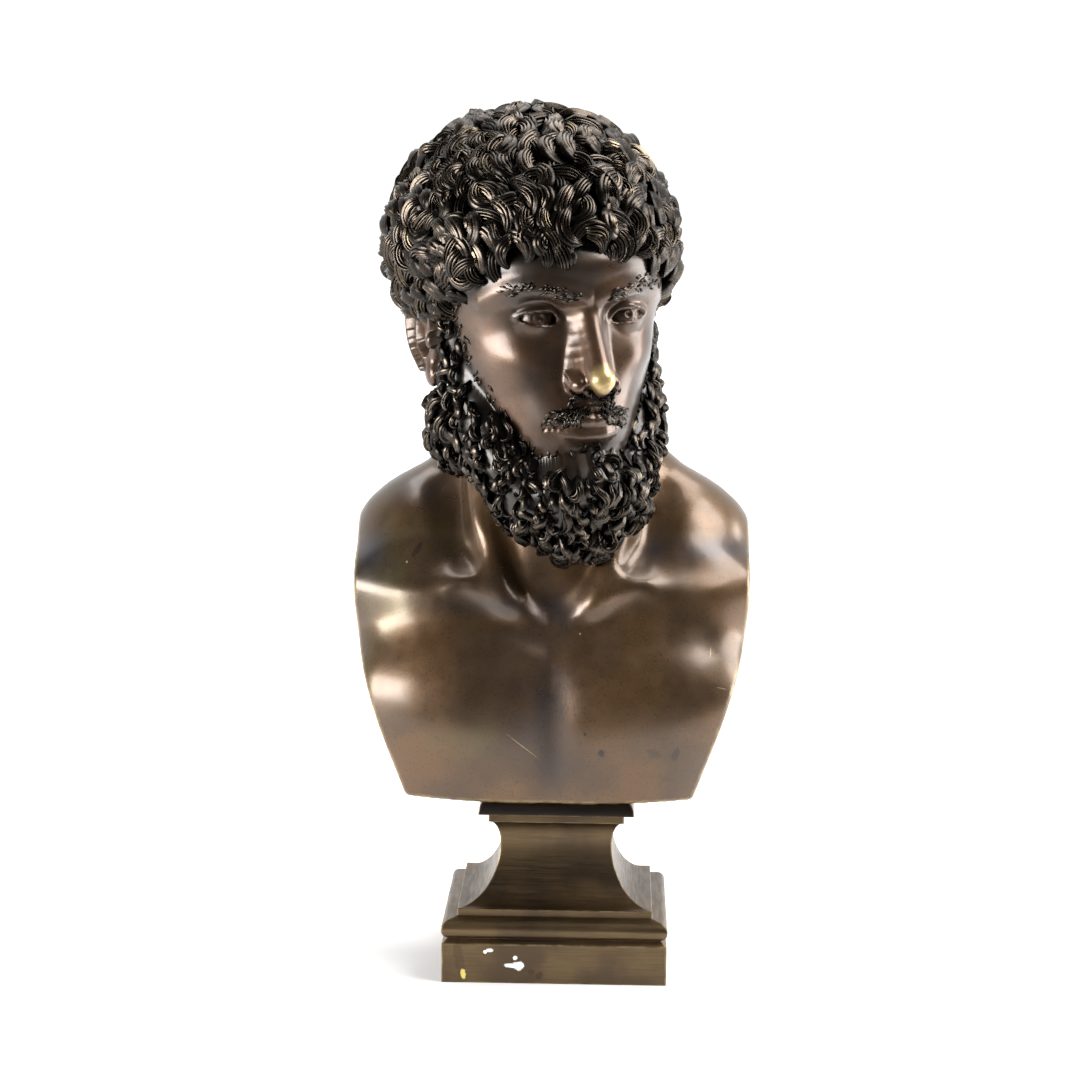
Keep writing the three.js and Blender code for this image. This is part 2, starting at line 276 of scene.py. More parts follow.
def joined(parts: Sequence[MeshData]) -> MeshData:
    """Several meshes as one, with their marks kept.

    Args:
        parts: The meshes.

    Returns:
        One mesh, with 0 for a mark that a part doesn't have.
    """
    starts = np.cumsum([0, *(len(part.vertices) for part in parts)]).tolist()
    faces = [[i + start for i in face] for part, start in zip(parts, starts) for face in part.faces]
    marks = {
        mark: np.concatenate([part.marks.get(mark, np.zeros(len(part.vertices))) for part in parts])
        for mark in Mark
    }
    return MeshData(np.concatenate([part.vertices for part in parts]), faces, marks)


def make_piece(
    name: str, data: MeshData, finish: bpy.types.Material, node: str
) -> bpy.types.Object:
    """Puts a mesh into the scene as a smooth-shaded piece that rides on the root body.

    Args:
        name: The piece's name.
        data: Its mesh, in millimetres.
        finish: Its material.
        node: The CAD node that it stands for.

    Returns:
        The new object.
    """
    mesh = bpy.data.meshes.new(name)
    mesh.from_pydata((data.vertices * MM).tolist(), [], data.faces)
    for mark in Mark:
        values = data.marks.get(mark, np.zeros(len(data.vertices)))
        mesh.attributes.new(mark.value, "FLOAT", "POINT").data.foreach_set("value", values.astype(np.float32))
    mesh.materials.append(finish)
    mesh.update()
    mesh.shade_smooth()
    if Mark.GROOVE in data.marks:
        ends = np.empty(len(mesh.edges) * 2, np.int32)
        mesh.edges.foreach_get("vertices", ends)
        sharp = data.marks[Mark.GROOVE][ends.reshape(-1, 2)].min(1) > 0.5
        mesh.attributes.new("sharp_edge", "BOOLEAN", "EDGE").data.foreach_set("value", sharp)
    piece = bpy.data.objects.new(name, mesh)
    bpy.context.scene.collection.objects.link(piece)
    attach(piece, ROOT_BODY)
    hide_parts(node)
    LOG.info("%s: %d vertices, %d triangles", name, len(data.vertices), data.triangles())
    return piece


def cast_onto(shape: Field, centre: np.ndarray, directions: np.ndarray, start: float) -> np.ndarray:
    """Walks in along rays from outside until each meets the skin.

    Args:
        shape: The distance field.
        centre: The point that the rays run towards.
        directions: Unit vectors, shape (n, 3).
        start: How far out the walk begins.

    Returns:
        How far out the skin is along each ray, or 0 where there is none.
    """
    stride, tolerance, most = 0.75, 0.02, 90
    reach = np.full(len(directions), start)
    walking = np.arange(len(directions))
    for _ in range(most):
        distance = shape(centre + directions[walking] * reach[walking, None])
        reach[walking] -= np.where(distance < tolerance, distance, np.maximum(distance * stride, tolerance))
        reach = np.maximum(reach, 0)
        walking = walking[(distance >= tolerance) & (reach[walking] > 0)]
        if not len(walking):
            break
    return reach


def spaced(stretches: Sequence[tuple[float, float, int]]) -> np.ndarray:
    """Evenly spaced angles in radians, without the last, over stretches (from, to, steps) in degrees."""
    return np.radians(np.concatenate([low + (high - low) * np.arange(n) / n for low, high, n in stretches]))


def directions_of(azimuth: np.ndarray, elevation: np.ndarray) -> np.ndarray:
    """Unit vectors; azimuth 0 faces the front and elevation is measured from the horizon."""
    level = np.cos(elevation)
    return np.stack([np.sin(azimuth) * level, -np.cos(azimuth) * level, np.sin(elevation)], -1)


def even_directions(count: int) -> np.ndarray:
    """Directions spread evenly over the sphere along a golden spiral."""
    number = np.arange(count)
    return directions_of(number * math.pi * (3 - math.sqrt(5)), np.arcsin(1 - 2 * (number + 0.5) / count))


def thinned(points: np.ndarray, spacing: float) -> np.ndarray:
    """Picks points that keep their distance, taken in order.

    Args:
        points: The candidates, shape (n, 3).
        spacing: How far each keeps from those taken before.

    Returns:
        Indices of the points that were taken.
    """
    chosen: list[int] = []
    for i, point in enumerate(points):
        if not chosen or length_of(points[chosen] - point).min() > spacing:
            chosen.append(i)
    return np.array(chosen, int)


def closed_grid(rings: int, columns: int) -> list[list[int]]:
    """Faces of a closed skin whose vertices are a bottom point, the rings upwards, and a top point.

    Args:
        rings: How many rings there are.
        columns: How many vertices each has.

    Returns:
        The faces, as lists of indices.
    """
    last = 1 + rings * columns
    top = last - columns
    faces: list[list[int]] = []
    for column in range(columns):
        after = (column + 1) % columns
        faces += [[0, 1 + after, 1 + column], [last, top + column, top + after]]
        for low in range(1, top, columns):
            high = low + columns
            faces.append([low + column, low + after, high + after, high + column])
    return faces


@dataclass
class SurfaceNet:
    """Meshes the skin of a field with even quads, each vertex settled onto it.

    Attributes:
        shape: The distance field.
        low: The lowest corner of a box around the body.
        high: The highest corner.
        pitch: Size of the cells.
        block: Cells along the side of the blocks that are skipped when the skin is far off.
        rounds: How often the vertices are evened out and settled.
    """

    shape: Field
    low: Place
    high: Place
    pitch: float
    block: int = 8
    rounds: int = 4

    def values(self) -> np.ndarray:
        """The field at the corners of the cells, worked out closely only near the skin."""
        size = self.block * self.pitch
        counts = [math.ceil((b - a) / size) for a, b in zip(self.low, self.high)]
        near = 1.6 * size * math.sqrt(3) / 2
        starts = np.stack(np.meshgrid(*(np.arange(n) for n in counts), indexing="ij"), -1).reshape(-1, 3)
        middles = self.shape(np.array(self.low) + (starts + 0.5) * size)
        values = np.empty([n * self.block for n in counts], np.float32)
        inner = np.stack(np.meshgrid(*[np.arange(self.block)] * 3, indexing="ij"), -1).reshape(-1, 3)
        for start, middle in zip(starts * self.block, middles):
            cells = tuple(slice(i, i + self.block) for i in start)
            if abs(middle) > near:
                values[cells] = middle
                continue
            corners = np.array(self.low) + (start + inner) * self.pitch
            values[cells] = self.shape(corners).reshape([self.block] * 3)
        return values

    def quads(self, inside: np.ndarray, index: np.ndarray) -> np.ndarray:
        """One face across each cell edge that passes through the skin, facing out."""
        faces = []
        for axis in range(3):
            one, two = np.eye(3, dtype=int)[(axis + 1) % 3], np.eye(3, dtype=int)[(axis + 2) % 3]
            near = np.take(inside, range(inside.shape[axis] - 1), axis)
            edges = np.argwhere(near != np.take(inside, range(1, inside.shape[axis]), axis))
            ring = np.stack([index[tuple((edges - back).T)] for back in (one + two, two, 0 * one, one)], 1)
            faces.append(np.where(near[tuple(edges.T)][:, None], ring, ring[:, ::-1]))
        return np.concatenate(faces)

    def build(self) -> MeshData:
        """The closed mesh."""
        inside = self.values() < 0
        full = sum(
            inside[i : i - 1 or None, j : j - 1 or None, k : k - 1 or None].astype(np.int8)
            for i in (0, 1) for j in (0, 1) for k in (0, 1)
        )
        mixed = np.argwhere((full > 0) & (full < 8))
        index = np.full(full.shape, -1, np.int32)
        index[tuple(mixed.T)] = np.arange(len(mixed))
        vertices = (mixed + 0.5) * self.pitch + np.array(self.low)
        quads = self.quads(inside, index)
        for _ in range(self.rounds):
            total, count = np.zeros_like(vertices), np.zeros(len(vertices))
            for a in range(4):
                np.add.at(total, quads[:, a], vertices[quads[:, (a + 1) % 4]])
                np.add.at(count, quads[:, a], 1)
            vertices = (vertices + total / count[:, None]) / 2
            vertices -= gradient(self.shape, vertices) * self.shape(vertices)[:, None]
        return MeshData(vertices, quads.tolist())


@dataclass(frozen=True)
class LockStyle:
    """How a kind of lock looks. Lengths are in the head's life-size millimetres.

    Attributes:
        length: Length of the path.
        width: Width at its widest.
        thickness: Height of the arched section over its edges.
        strands: Ribs along the lock.
        rib: Height of each rib.
        first_turn: Turn per length at the root, in radians, towards the curl.
        last_turn: Turn per length at the tip.
        hook: Power of the turn's growth; higher keeps the curl to the tip.
        lean: How far the path starts off away from the curl, in radians.
        lift: How far its ends stand over the skin that it grows on.
        arch: How much higher its middle stands.
        bank: How far the section tips towards the inside of the curl, in radians.
        root: Width at the root as a share.
        tip: Width at the tip as a share.
        narrowing: Share of the length from which it narrows.
        steps: Rows of the mesh along the lock.
        bright: How rubbed its ribs are and how much painted highlight they carry, from 0 to 1; the deeper
            layers have less, as painted shade.
    """

    length: float
    width: float
    thickness: float
    strands: int
    rib: float
    first_turn: float
    last_turn: float
    hook: float
    lean: float
    lift: float
    arch: float = 4.0
    bank: float = 0.55
    root: float = 0.35
    tip: float = 0.12
    narrowing: float = 0.55
    steps: int = 16
    bright: float = 1.0


@dataclass
class Locks:
    """Paths of many locks over a skin, ready to be swept.

    Attributes:
        path: Points along each lock, shape (n, steps, 3).
        ups: Normals of the skin there.
        curls: 1 or -1 for each lock.
        style: How they look.
        rng: The seeded source of variation.
    """

    path: np.ndarray
    ups: np.ndarray
    curls: np.ndarray
    style: LockStyle
    rng: np.random.Generator

    UNDER = ((0.62, -0.55), (0.0, -0.75), (-0.62, -0.55))

    def frames(self) -> tuple[np.ndarray, np.ndarray, np.ndarray]:
        """Directions along, across and up for every row of every lock, banked towards its curl."""
        along = unit(np.gradient(self.path, axis=1))
        across = unit(np.cross(along, self.ups))
        up = np.cross(across, along)
        bank = (self.style.bank * self.curls + self.rng.uniform(-0.2, 0.2, len(self.curls)))[:, None, None]
        return along, across * np.cos(bank) + up * np.sin(bank), up * np.cos(bank) - across * np.sin(bank)

    def mesh(self) -> MeshData:
        """Sweeps a ribbed section along every path, as closed bodies with the crests marked for rubbed wear
        and painted light.
        """
        style, (count, steps, _) = self.style, self.path.shape
        share = np.linspace(0, 1, steps)
        along, across, up = self.frames()
        hump = np.sin(math.pi * share**0.85)
        root = 1 - smoothstep(0, 0.3, share)
        lift = style.lift + self.rng.uniform(-0.5, 0.5, count)[:, None] * style.thickness + style.arch * hump
        centre = self.path + up * (lift - style.thickness * root)[..., None]
        taper = style.root + (1 - style.root) * smoothstep(0, 0.4, share)
        taper *= 1 - (1 - style.tip) * smoothstep(style.narrowing, 1.05, share)
        half = style.width / 2 * self.rng.uniform(0.8, 1.2, count)[:, None] * taper

        u = np.linspace(-1, 1, style.strands * 2 + 1)
        arched = np.sqrt(np.clip(1 - u * u, 0, 1))
        rib = np.arange(len(u)) % 2 * (0.6 + 0.4 * arched)
        uneven = np.repeat(self.rng.uniform(0.4, 1.6, (count, style.strands)), 2, axis=1)
        uneven = np.concatenate([uneven, uneven[:, :1]], 1)[:, None]
        scale = (style.thickness * np.minimum(taper * 1.25, 1))[None, :, None]
        top = arched * scale + rib * uneven * style.rib * scale / style.thickness
        under_u, under_h = np.array(self.UNDER).T
        ring_u = np.concatenate([u, under_u])
        ring_h = np.concatenate([top, np.broadcast_to(under_h * scale, (count, steps, len(under_h)))], -1)
        sideways = across[:, :, None] * (ring_u * half[..., None])[..., None]
        rings = centre[:, :, None] + sideways + up[:, :, None] * ring_h[..., None]

        ends = [centre[:, :1] - along[:, :1] * 0.3, centre[:, -1:] + along[:, -1:] * half[:, -1:, None]]
        vertices = np.concatenate([ends[0], rings.reshape(count, -1, 3), ends[1]], 1)
        # Rubbed wear and painted highlight on the ribs, strongest at the high middle of the arch; grooves,
        # undersides and ends get painted shade
        rubbed = style.bright * self.rng.uniform(0.45, 1, count)[:, None, None] * hump[None, :, None]
        ring_crest_wear_and_light = np.concatenate([rib * arched, np.zeros(len(under_u))]) * rubbed
        crest_wear_and_light = np.concatenate([np.zeros((count, 1)), ring_crest_wear_and_light.reshape(count, -1), np.zeros((count, 1))], 1)
        ring_groove = np.concatenate([1 - np.arange(len(u)) % 2, np.zeros(len(under_u))])
        groove = np.concatenate([[0], np.tile(ring_groove, steps), [0]])
        pattern = closed_grid(steps, len(ring_u))
        starts = range(0, count * vertices.shape[1], vertices.shape[1])
        faces = [[i + start for i in face] for start in starts for face in pattern]
        marks = {Mark.CREST_WEAR_AND_LIGHT: crest_wear_and_light.reshape(-1), Mark.GROOVE: np.tile(groove, count)}
        return MeshData(vertices.reshape(-1, 3), faces, marks)


@dataclass
class LockBed:
    """A skin that locks grow on.

    Attributes:
        shape: Its distance field.
        source: The direction that the locks fall away from.
        rng: The seeded source of variation.
    """

    shape: Field
    source: Place
    rng: np.random.Generator

    def settle(self, points: np.ndarray) -> tuple[np.ndarray, np.ndarray]:
        """Moves points onto the skin and returns them with their normals."""
        for _ in range(3):
            normals = gradient(self.shape, points, 0.5)
            points = points - normals * np.clip(self.shape(points), -1.5, 1.5)[:, None] * 0.8
        return points, normals

    def grow(self, roots: np.ndarray, curls: np.ndarray, style: LockStyle) -> MeshData:
        """Grows one lock from each root and meshes them all.

        Args:
            roots: Starting points near the skin, shape (n, 3).
            curls: 1 or -1 for each, the way it curls.
            style: How the locks look.

        Returns:
            The locks as one mesh, each closed.
        """
        count, rows = len(roots), style.steps - 1
        length = style.length * self.rng.uniform(0.7, 1.3, count)
        lean = self.rng.normal(0, 0.15, count) - style.lean * self.rng.uniform(0.7, 1.3, count) * curls
        first = style.first_turn * self.rng.uniform(-0.4, 1.6, count) * curls
        last = style.last_turn * self.rng.uniform(0.7, 1.2, count) * curls
        source = unit(np.array(self.source))
        points, normals = self.settle(roots)
        down = unit(normals * (normals @ source)[:, None] - source)
        heading = down * np.cos(lean)[:, None] + np.cross(normals, down) * np.sin(lean)[:, None]
        path, ups = [points], [normals]
        for row in range(rows):
            turn = (first + (last - first) * (row / rows) ** style.hook) / rows
            points, normals = self.settle(points + heading * (length / rows)[:, None])
            heading = unit(heading - normals * (heading * normals).sum(-1)[:, None])
            aside = np.cross(normals, heading)
            heading = heading * np.cos(turn)[:, None] + aside * np.sin(turn)[:, None]
            path.append(points)
            ups.append(normals)
        return Locks(np.stack(path, 1), np.stack(ups, 1), curls, style, self.rng).mesh()

    def toss(self, count: int) -> np.ndarray:
        """A random curl for each of so many locks."""
        return self.rng.choice([curl.value for curl in Curl], count)


@dataclass
class Head:
    """The head in its own life-size frame: skin, eyes and ears, and the outsides of hair and beard."""

    scale: float = 0.57
    centre: Place = (-10.0, -2.0, 263.0)
    yaw: float = 24.0
    pitch: float = 3.0
    roll: float = -1.5
    reach: float = 230.0
    skull: Ellipsoid = Ellipsoid((0, 5, 33), (76.5, 99, 82))
    plan_first: float = -120.0
    plan_pitch: float = 20.0
    plan_middle: float = -8.0
    plan_back: float = 60.0
    squareness: float = 2.3
    front: Sequence[float] = (-88, -91, -92.3, -92.3, -89.5, -86, -86.5, -95.5, -100, -97)
    half: Sequence[float] = (36, 45, 56, 63, 68, 72, 74, 75, 76, 76)
    height_middle: float = -36.0
    height_half: float = 82.0
    eye_centre: Place = (31.5, -70.5, 0.0)
    eye_radius: float = 12.0
    eye_half: float = 15.0
    eye_above: float = 5.2
    eye_below: float = 4.2
    lid: float = 1.6
    iris: float = 5.6
    columns: Sequence[tuple[float, float, int]] = (
        (-50, 50, 170), (50, 84, 17), (84, 120, 44), (120, 240, 26), (240, 276, 44), (276, 310, 17),
    )
    rows: Sequence[tuple[float, float, int]] = ((-90, -54, 14), (-54, 24, 150), (24, 44, 16), (44, 90, 12))
    nose_tip: Place = (0.0, -120.0, -38.0)
    rubbed_reach: tuple[float, float] = (5.0, 15.0)
    hair_edge: float = -7.0
    hair_slope: float = -0.3
    hair_edge_from: float = 10.0
    hair_round: float = 10.0
    hair_depth: float = 8.0
    beard_depth: float = 3.5

    # Swellings and hollows of the face: place across, up and how far forward; then spread across and up
    relief: Sequence[tuple[str, Place, tuple[float, float]]] = (
        ("eye socket", (30, 2, -7), (15, 11.5)),
        ("inner corner", (16.5, 4, -5), (7, 9)),
        ("cheek bone", (46, -27, 4), (17, 13)),
        ("hollow of the cheek", (52, -62, -3), (17, 22)),
        ("mouth", (0, -70, 6), (25, 19)),
        ("under the lip", (0, -88, -3.2), (18, 6.5)),
        ("chin", (0, -104, 5.5), (18, 12)),
    )
    relief_power: float = 2.2

    features: Sequence[Mass] = (
        Mass("brow", Strand(((5, -94, 15), (20, -93, 18.5), (38, -86, 22), (52, -73, 19), (62, -56, 11)),
                            (3, 4, 4, 3.5, 3)), 9, pair=True),
        Mass("sides of the nose", Strand(((0, -80, 8), (0, -86, -14), (0, -92, -36)), (8, 12, 15.5)), 7),
        Mass("bridge of the nose", Strand(((0, -84, 12), (0, -94, -6), (0, -104.5, -24), (0, -111.5, -37.5)),
                                          (7.5, 7.2, 7.6, 9.2)), 6),
        Mass("wing of the nose", Ellipsoid((12.8, -98.5, -42), (6, 9.5, 7)), 3.5, pair=True),
        Mass("fold round the wing", Strand(((17.5, -110, -31), (20.5, -99, -36), (20, -91, -46)),
                                           (1, 1.2, 1)), 4, pair=True, carve=True),
        Mass("column under the nose", Strand(((0, -114, -45), (0, -98, -50)), (3, 3.6)), 4),
        Mass("nostril", Strand(((6.3, -113, -50.5), (7.5, -102, -48.5)), (2.8, 3.3)), 1.5,
             pair=True, carve=True),
        Mass("groove of the upper lip", Strand(((0, -107, -53), (0, -103, -62)), (2, 2.3)), 2.5, carve=True),
        Mass("upper lip", Strand(((0, -96.4, -67.2), (4, -96.8, -66.4), (12, -94.4, -67.2), (20, -89, -69.8),
                                  (26, -83, -71.8)), (4.4, 4.5, 4, 2.9, 1.3)), 3, pair=True),
        Mass("lower lip", Strand(((0, -95.4, -76), (8, -94.6, -76), (16, -90.2, -74.8), (25, -83.6, -72.4)),
                                 (5.2, 5, 3.9, 1.6)), 3, pair=True),
        Mass("line of the mouth", Strand(((0, -103.5, -71.8), (5, -102.2, -70.8), (14, -97.5, -71.4),
                                          (26, -86.2, -72.2), (29, -83.5, -72.8)),
                                         (0.8, 0.8, 0.8, 0.8, 0.9)), 1.6, pair=True, carve=True),
    )
    upper_lid: Strand = Strand(((17, -80.5, -1), (24, -82.5, 5), (32, -83.6, 6.6), (40, -81, 5.2),
                                (46, -74.5, 1)), (0.6, 1.3, 1.5, 1.4, 0.8))
    lid_crease: Strand = Strand(((18, -84, 6), (25, -85.5, 11), (33, -86.5, 12.6), (41, -84, 11.4),
                                 (48, -77, 6.5)), (0.4, 0.9, 1, 0.9, 0.4))
    ears: Sequence[Mass] = (
        Mass("shell", Ellipsoid((75, 12, -18), (7, 18, 31)), 4, pair=True),
        Mass("lobe", Ellipsoid((76, 3, -45), (5, 8, 9)), 4, pair=True),
        Mass("hollow", Ellipsoid((86, 8, -20), (11, 9, 16)), 3, pair=True, carve=True),
        Mass("rim", Strand(((80, -3, -12), (82, -2, 4), (83, 10, 13), (84, 23, 8), (84, 29, -10),
                            (83, 25, -28), (81, 12, -42)), (2.2, 2.4, 2.8, 3, 3, 2.8, 2.4)), 1.5, pair=True),
        Mass("inner fold", Strand(((80, 8, 0), (81, 18, -8), (81, 17, -24), (80, 8, -34)),
                                  (2, 2.4, 2.4, 2)), 2, pair=True),
        Mass("flap", Ellipsoid((80, -4, -21), (4, 4, 6)), 2, pair=True),
    )
    hair_masses: Sequence[Mass] = (
        Mass("mop", Ellipsoid((0, 12, 42), (93, 110, 87))),
        Mass("opening for the face", Ellipsoid((0, -126, -24), (61, 93, 69)), 6, carve=True),
    )
    sideburn: Sequence[Mass] = (
        Mass("sideburn", Strand(((66, -26, 14), (70, -20, -12), (68, -18, -45)), (9, 8, 10)), pair=True),
    )
    beard_masses: Sequence[Mass] = (
        Mass("side", Ellipsoid((57, -14, -78), (27, 30, 34)), 8, pair=True),
        Mass("jaw", Strand(((61, -24, -5), (58, -30, -45), (48, -47, -90), (26, -64, -122)), (9, 15, 23, 29)),
             12, pair=True),
        Mass("chin", Ellipsoid((0, -84, -110), (36, 27, 22)), 10),
        Mass("point", Strand(((12, -74, -124), (10, -76, -148)), (26, 15)), 12, pair=True),
        Mass("bare cheeks and mouth", Ellipsoid((0, -108, -40), (46, 38, 58)), 6, carve=True),
        Mass("parting", Strand(((0, -112, -150), (0, -100, -185)), (4, 7)), 8, carve=True),
        Mass("tuft under the lip", Strand(((0, -96, -90), (0, -103, -104)), (3.5, 6)), 5),
    )

    def matrix(self) -> np.ndarray:
        """Rotation from the head's frame to the bust's."""
        turns = ((self.yaw, "Z"), (self.pitch, "X"), (self.roll, "Y"))
        yaw, pitch, roll = (Matrix.Rotation(math.radians(angle), 3, axis) for angle, axis in turns)
        return np.array(yaw @ pitch @ roll)

    def to_bust(self, points: np.ndarray) -> np.ndarray:
        """Head-frame points as places on the bust, in millimetres."""
        return points * self.scale @ self.matrix().T + np.array(self.centre)

    def plan(self, points: np.ndarray) -> np.ndarray:
        """Distance to the face block: a rounded plan whose depth and width follow curves up the face."""
        x, y, z = points[..., 0], points[..., 1], points[..., 2]
        place = (z - self.plan_first) / self.plan_pitch
        half, front = spline_at(self.half, place), spline_at(self.front, place)
        ahead = y - self.plan_middle
        depth = np.where(ahead < 0, self.plan_middle - front, self.plan_back)
        across, along = np.abs(x / half), np.abs(ahead / depth)
        reach = (across**self.squareness + along**self.squareness) ** (1 / self.squareness)
        steep = np.hypot(across / half, along / depth) / np.maximum(np.hypot(across, along), 1e-6)
        return (reach - 1) / np.maximum(steep, 1e-6)

    def skin(self, points: np.ndarray) -> np.ndarray:
        """Distance to the bare head without eyes and ears."""
        x, z, power = np.abs(points[..., 0]), points[..., 2], self.relief_power
        forward = sum(
            height * np.exp(-np.abs((x - at) / wide) ** power - np.abs((z - level) / tall) ** power)
            for _, (at, level, height), (wide, tall) in self.relief
        )
        pushed = points.copy()
        pushed[..., 1] += forward * smoothstep(5, 40, -points[..., 1])
        skin = smooth_more(self.plan(pushed) * 0.8, np.abs(z - self.height_middle) - self.height_half, 16)
        skin = smooth_less(skin, self.skull.distance(pushed), 14)
        return sculpt(self.features, points, skin)

    def with_eyes(self, points: np.ndarray, skin: np.ndarray) -> np.ndarray:
        """Adds eyeballs with cut irises, lids and the opening between them.

        Args:
            points: Places to measure at.
            skin: Distance to the head without them.

        Returns:
            Distance to the head with them.
        """
        side = mirrored(points)
        q = side - np.array(self.eye_centre)
        x, z, middle = q[..., 0], q[..., 2], length_of(q)
        across = np.clip(x / self.eye_half, -1, 1)
        arch = np.clip(1 - np.abs(across) ** 2.2, 0, 1) ** 0.8
        above, below = z - self.eye_above * arch - 0.9 * across, 0.9 * across - self.eye_below * arch - z
        opening = np.maximum(above, below) * 0.8
        lid = smooth_less(middle - self.eye_radius - self.lid, self.upper_lid.distance(side), 2)
        skin = smooth_less(skin, lid, 4.5)
        skin = smooth_more(skin, -self.lid_crease.distance(side), 3)
        skin = smooth_more(skin, -np.maximum(opening, middle - self.eye_radius - 3.5), 0.6)
        ring = np.maximum(np.abs(np.hypot(x, z - 0.5) - self.iris) - 0.35, self.eye_radius - 0.6 - middle)
        pupil = length_of(q - np.array((0, -self.eye_radius, 1.2))) - 2.0
        ball = smooth_more(middle - self.eye_radius, -ring, 0.4)
        return np.minimum(skin, smooth_more(ball, -pupil, 0.6))

    def hair(self, points: np.ndarray) -> np.ndarray:
        """Distance to the outside of the hair."""
        edge = self.hair_edge + self.hair_slope * (points[..., 1] - self.hair_edge_from) - points[..., 2]
        return smooth_more(sculpt(self.hair_masses, points), edge, self.hair_round)

    def beard(self, points: np.ndarray) -> np.ndarray:
        """Distance to the outside of the beard and sideburns."""
        return smooth_less(sculpt(self.beard_masses, points), sculpt(self.sideburn, points), 6)

    def face(self, points: np.ndarray) -> np.ndarray:
        """Distance to the bare head with eyes and ears."""
        return sculpt(self.ears, points, self.with_eyes(points, self.skin(points)))

    def surface(self, points: np.ndarray) -> np.ndarray:
        """Distance to everything that isn't a lock: the bare head and the beds of hair and beard."""
        bare = smooth_less(self.face(points), self.hair(points) + self.hair_depth, 2)
        return smooth_less(bare, self.beard(points) + self.beard_depth, 2)

    def build(self) -> MeshData:
        """The head's skin as a closed grid, fine over the face and ears."""
        azimuths, elevations = spaced(self.columns), spaced(self.rows)[1:]
        grid = np.stack(np.meshgrid(azimuths, elevations), -1).reshape(-1, 2)
        ends = directions_of(np.zeros(2), np.radians([-90.0, 90.0]))
        directions = np.concatenate([ends[:1], directions_of(grid[:, 0], grid[:, 1]), ends[1:]])
        vertices = directions * cast_onto(self.surface, np.zeros(3), directions, self.reach)[:, None]
        covered = np.minimum(self.hair(vertices), self.beard(vertices)) - 1
        tip = length_of(vertices - np.array(self.nose_tip))
        marks = {
            # The skin under hair and beard is painted with the shade between the locks
            Mark.SHADE_UNDER_LOCKS: smoothstep(-1.5, 1.5, -covered),
            Mark.RUBBED: 1 - smoothstep(*self.rubbed_reach, tip),
        }
        return MeshData(self.to_bust(vertices), closed_grid(len(elevations), len(azimuths)), marks)


@dataclass
class Hair:
    """The thick hair: tiers of ribbed comma locks that fall away from the crown, in three layers."""

    head: Head
    crown: Place = (0.0, 0.42, 0.91)
    middle: Place = (0.0, 12.0, 20.0)
    radius: float = 98.0
    lowest_tier: float = 150.0
    jitter: float = 0.022
    turned: float = 0.25
    seed: int = 7
    layers: Sequence[tuple[str, float, LockStyle]] = (
        ("hair_deep", 13.5, LockStyle(length=34, width=12, thickness=5, strands=5, rib=2.0, first_turn=2,
                                      last_turn=4, hook=1, lean=1.3, lift=-5.5, arch=4, steps=11, bright=0.5)),
        ("hair_middle", 14.0, LockStyle(length=38, width=10.5, thickness=4, strands=5, rib=2.2, first_turn=2.2,
                                        last_turn=6, hook=1, lean=1.5, lift=-4.5, arch=5.5)),
        ("hair_top", 14.5, LockStyle(length=42, width=11, thickness=4.5, strands=5, rib=2.4, first_turn=2.4,
                                     last_turn=6.5, hook=1, lean=1.6, lift=-4.0, arch=7.0)),
    )

    def roots(self, spacing: float, shift: float) -> tuple[np.ndarray, np.ndarray]:
        """Lays out the roots of a layer in rings round the crown.

        Args:
            spacing: About how far apart they stand.
            shift: How far the layer is moved on from the last, from 0 to 1.

        Returns:
            Directions of the roots, and for each the way its lock curls.
        """
        crown = unit(np.array(self.crown))
        first = unit(np.cross(crown, np.array([0.0, 0.3, 1.0])))
        second = np.cross(crown, first)
        step = spacing / self.radius
        places, curls = [], []
        for tier in range(int(math.radians(self.lowest_tier) / step)):
            polar = (tier + 0.4 + shift) * step
            count = max(3, round(2 * math.pi * math.sin(polar) / step))
            angles = (np.arange(count) + 0.5 * (tier % 2) + shift)[:, None] / count * 2 * math.pi
            round_about = np.cos(angles) * first + np.sin(angles) * second
            places.append(math.cos(polar) * crown + math.sin(polar) * round_about)
            right = np.sin(angles[:, 0] * 3 + tier * 1.9 + shift * 4) > 0
            curls.append(np.where(right, Curl.RIGHT.value, Curl.LEFT.value))
        return np.concatenate(places), np.concatenate(curls)

    def build(self) -> dict[str, MeshData]:
        """The locks of each layer in the bust's millimetres, by the layer's name."""
        rng = np.random.default_rng(self.seed)
        bed = LockBed(self.head.hair, self.crown, rng)
        made = {}
        for number, (name, spacing, style) in enumerate(self.layers):
            directions, curls = self.roots(spacing, number / len(self.layers))
            directions = unit(directions + rng.normal(0, self.jitter, directions.shape))
            curls = np.where(rng.random(len(curls)) < self.turned, -curls, curls)
            reach = cast_onto(self.head.hair, np.array(self.middle), directions, self.head.reach)
            roots = np.array(self.middle) + directions * reach[:, None]
            hem = self.head.hair_edge + self.head.hair_slope * (roots[:, 1] - self.head.hair_edge_from)
            keep = (self.head.skin(roots) > 3) & (roots[:, 2] > hem + 3)
            made[name] = bed.grow(roots[keep], curls[keep], style)
            made[name].vertices = self.head.to_bust(made[name].vertices)
        return made


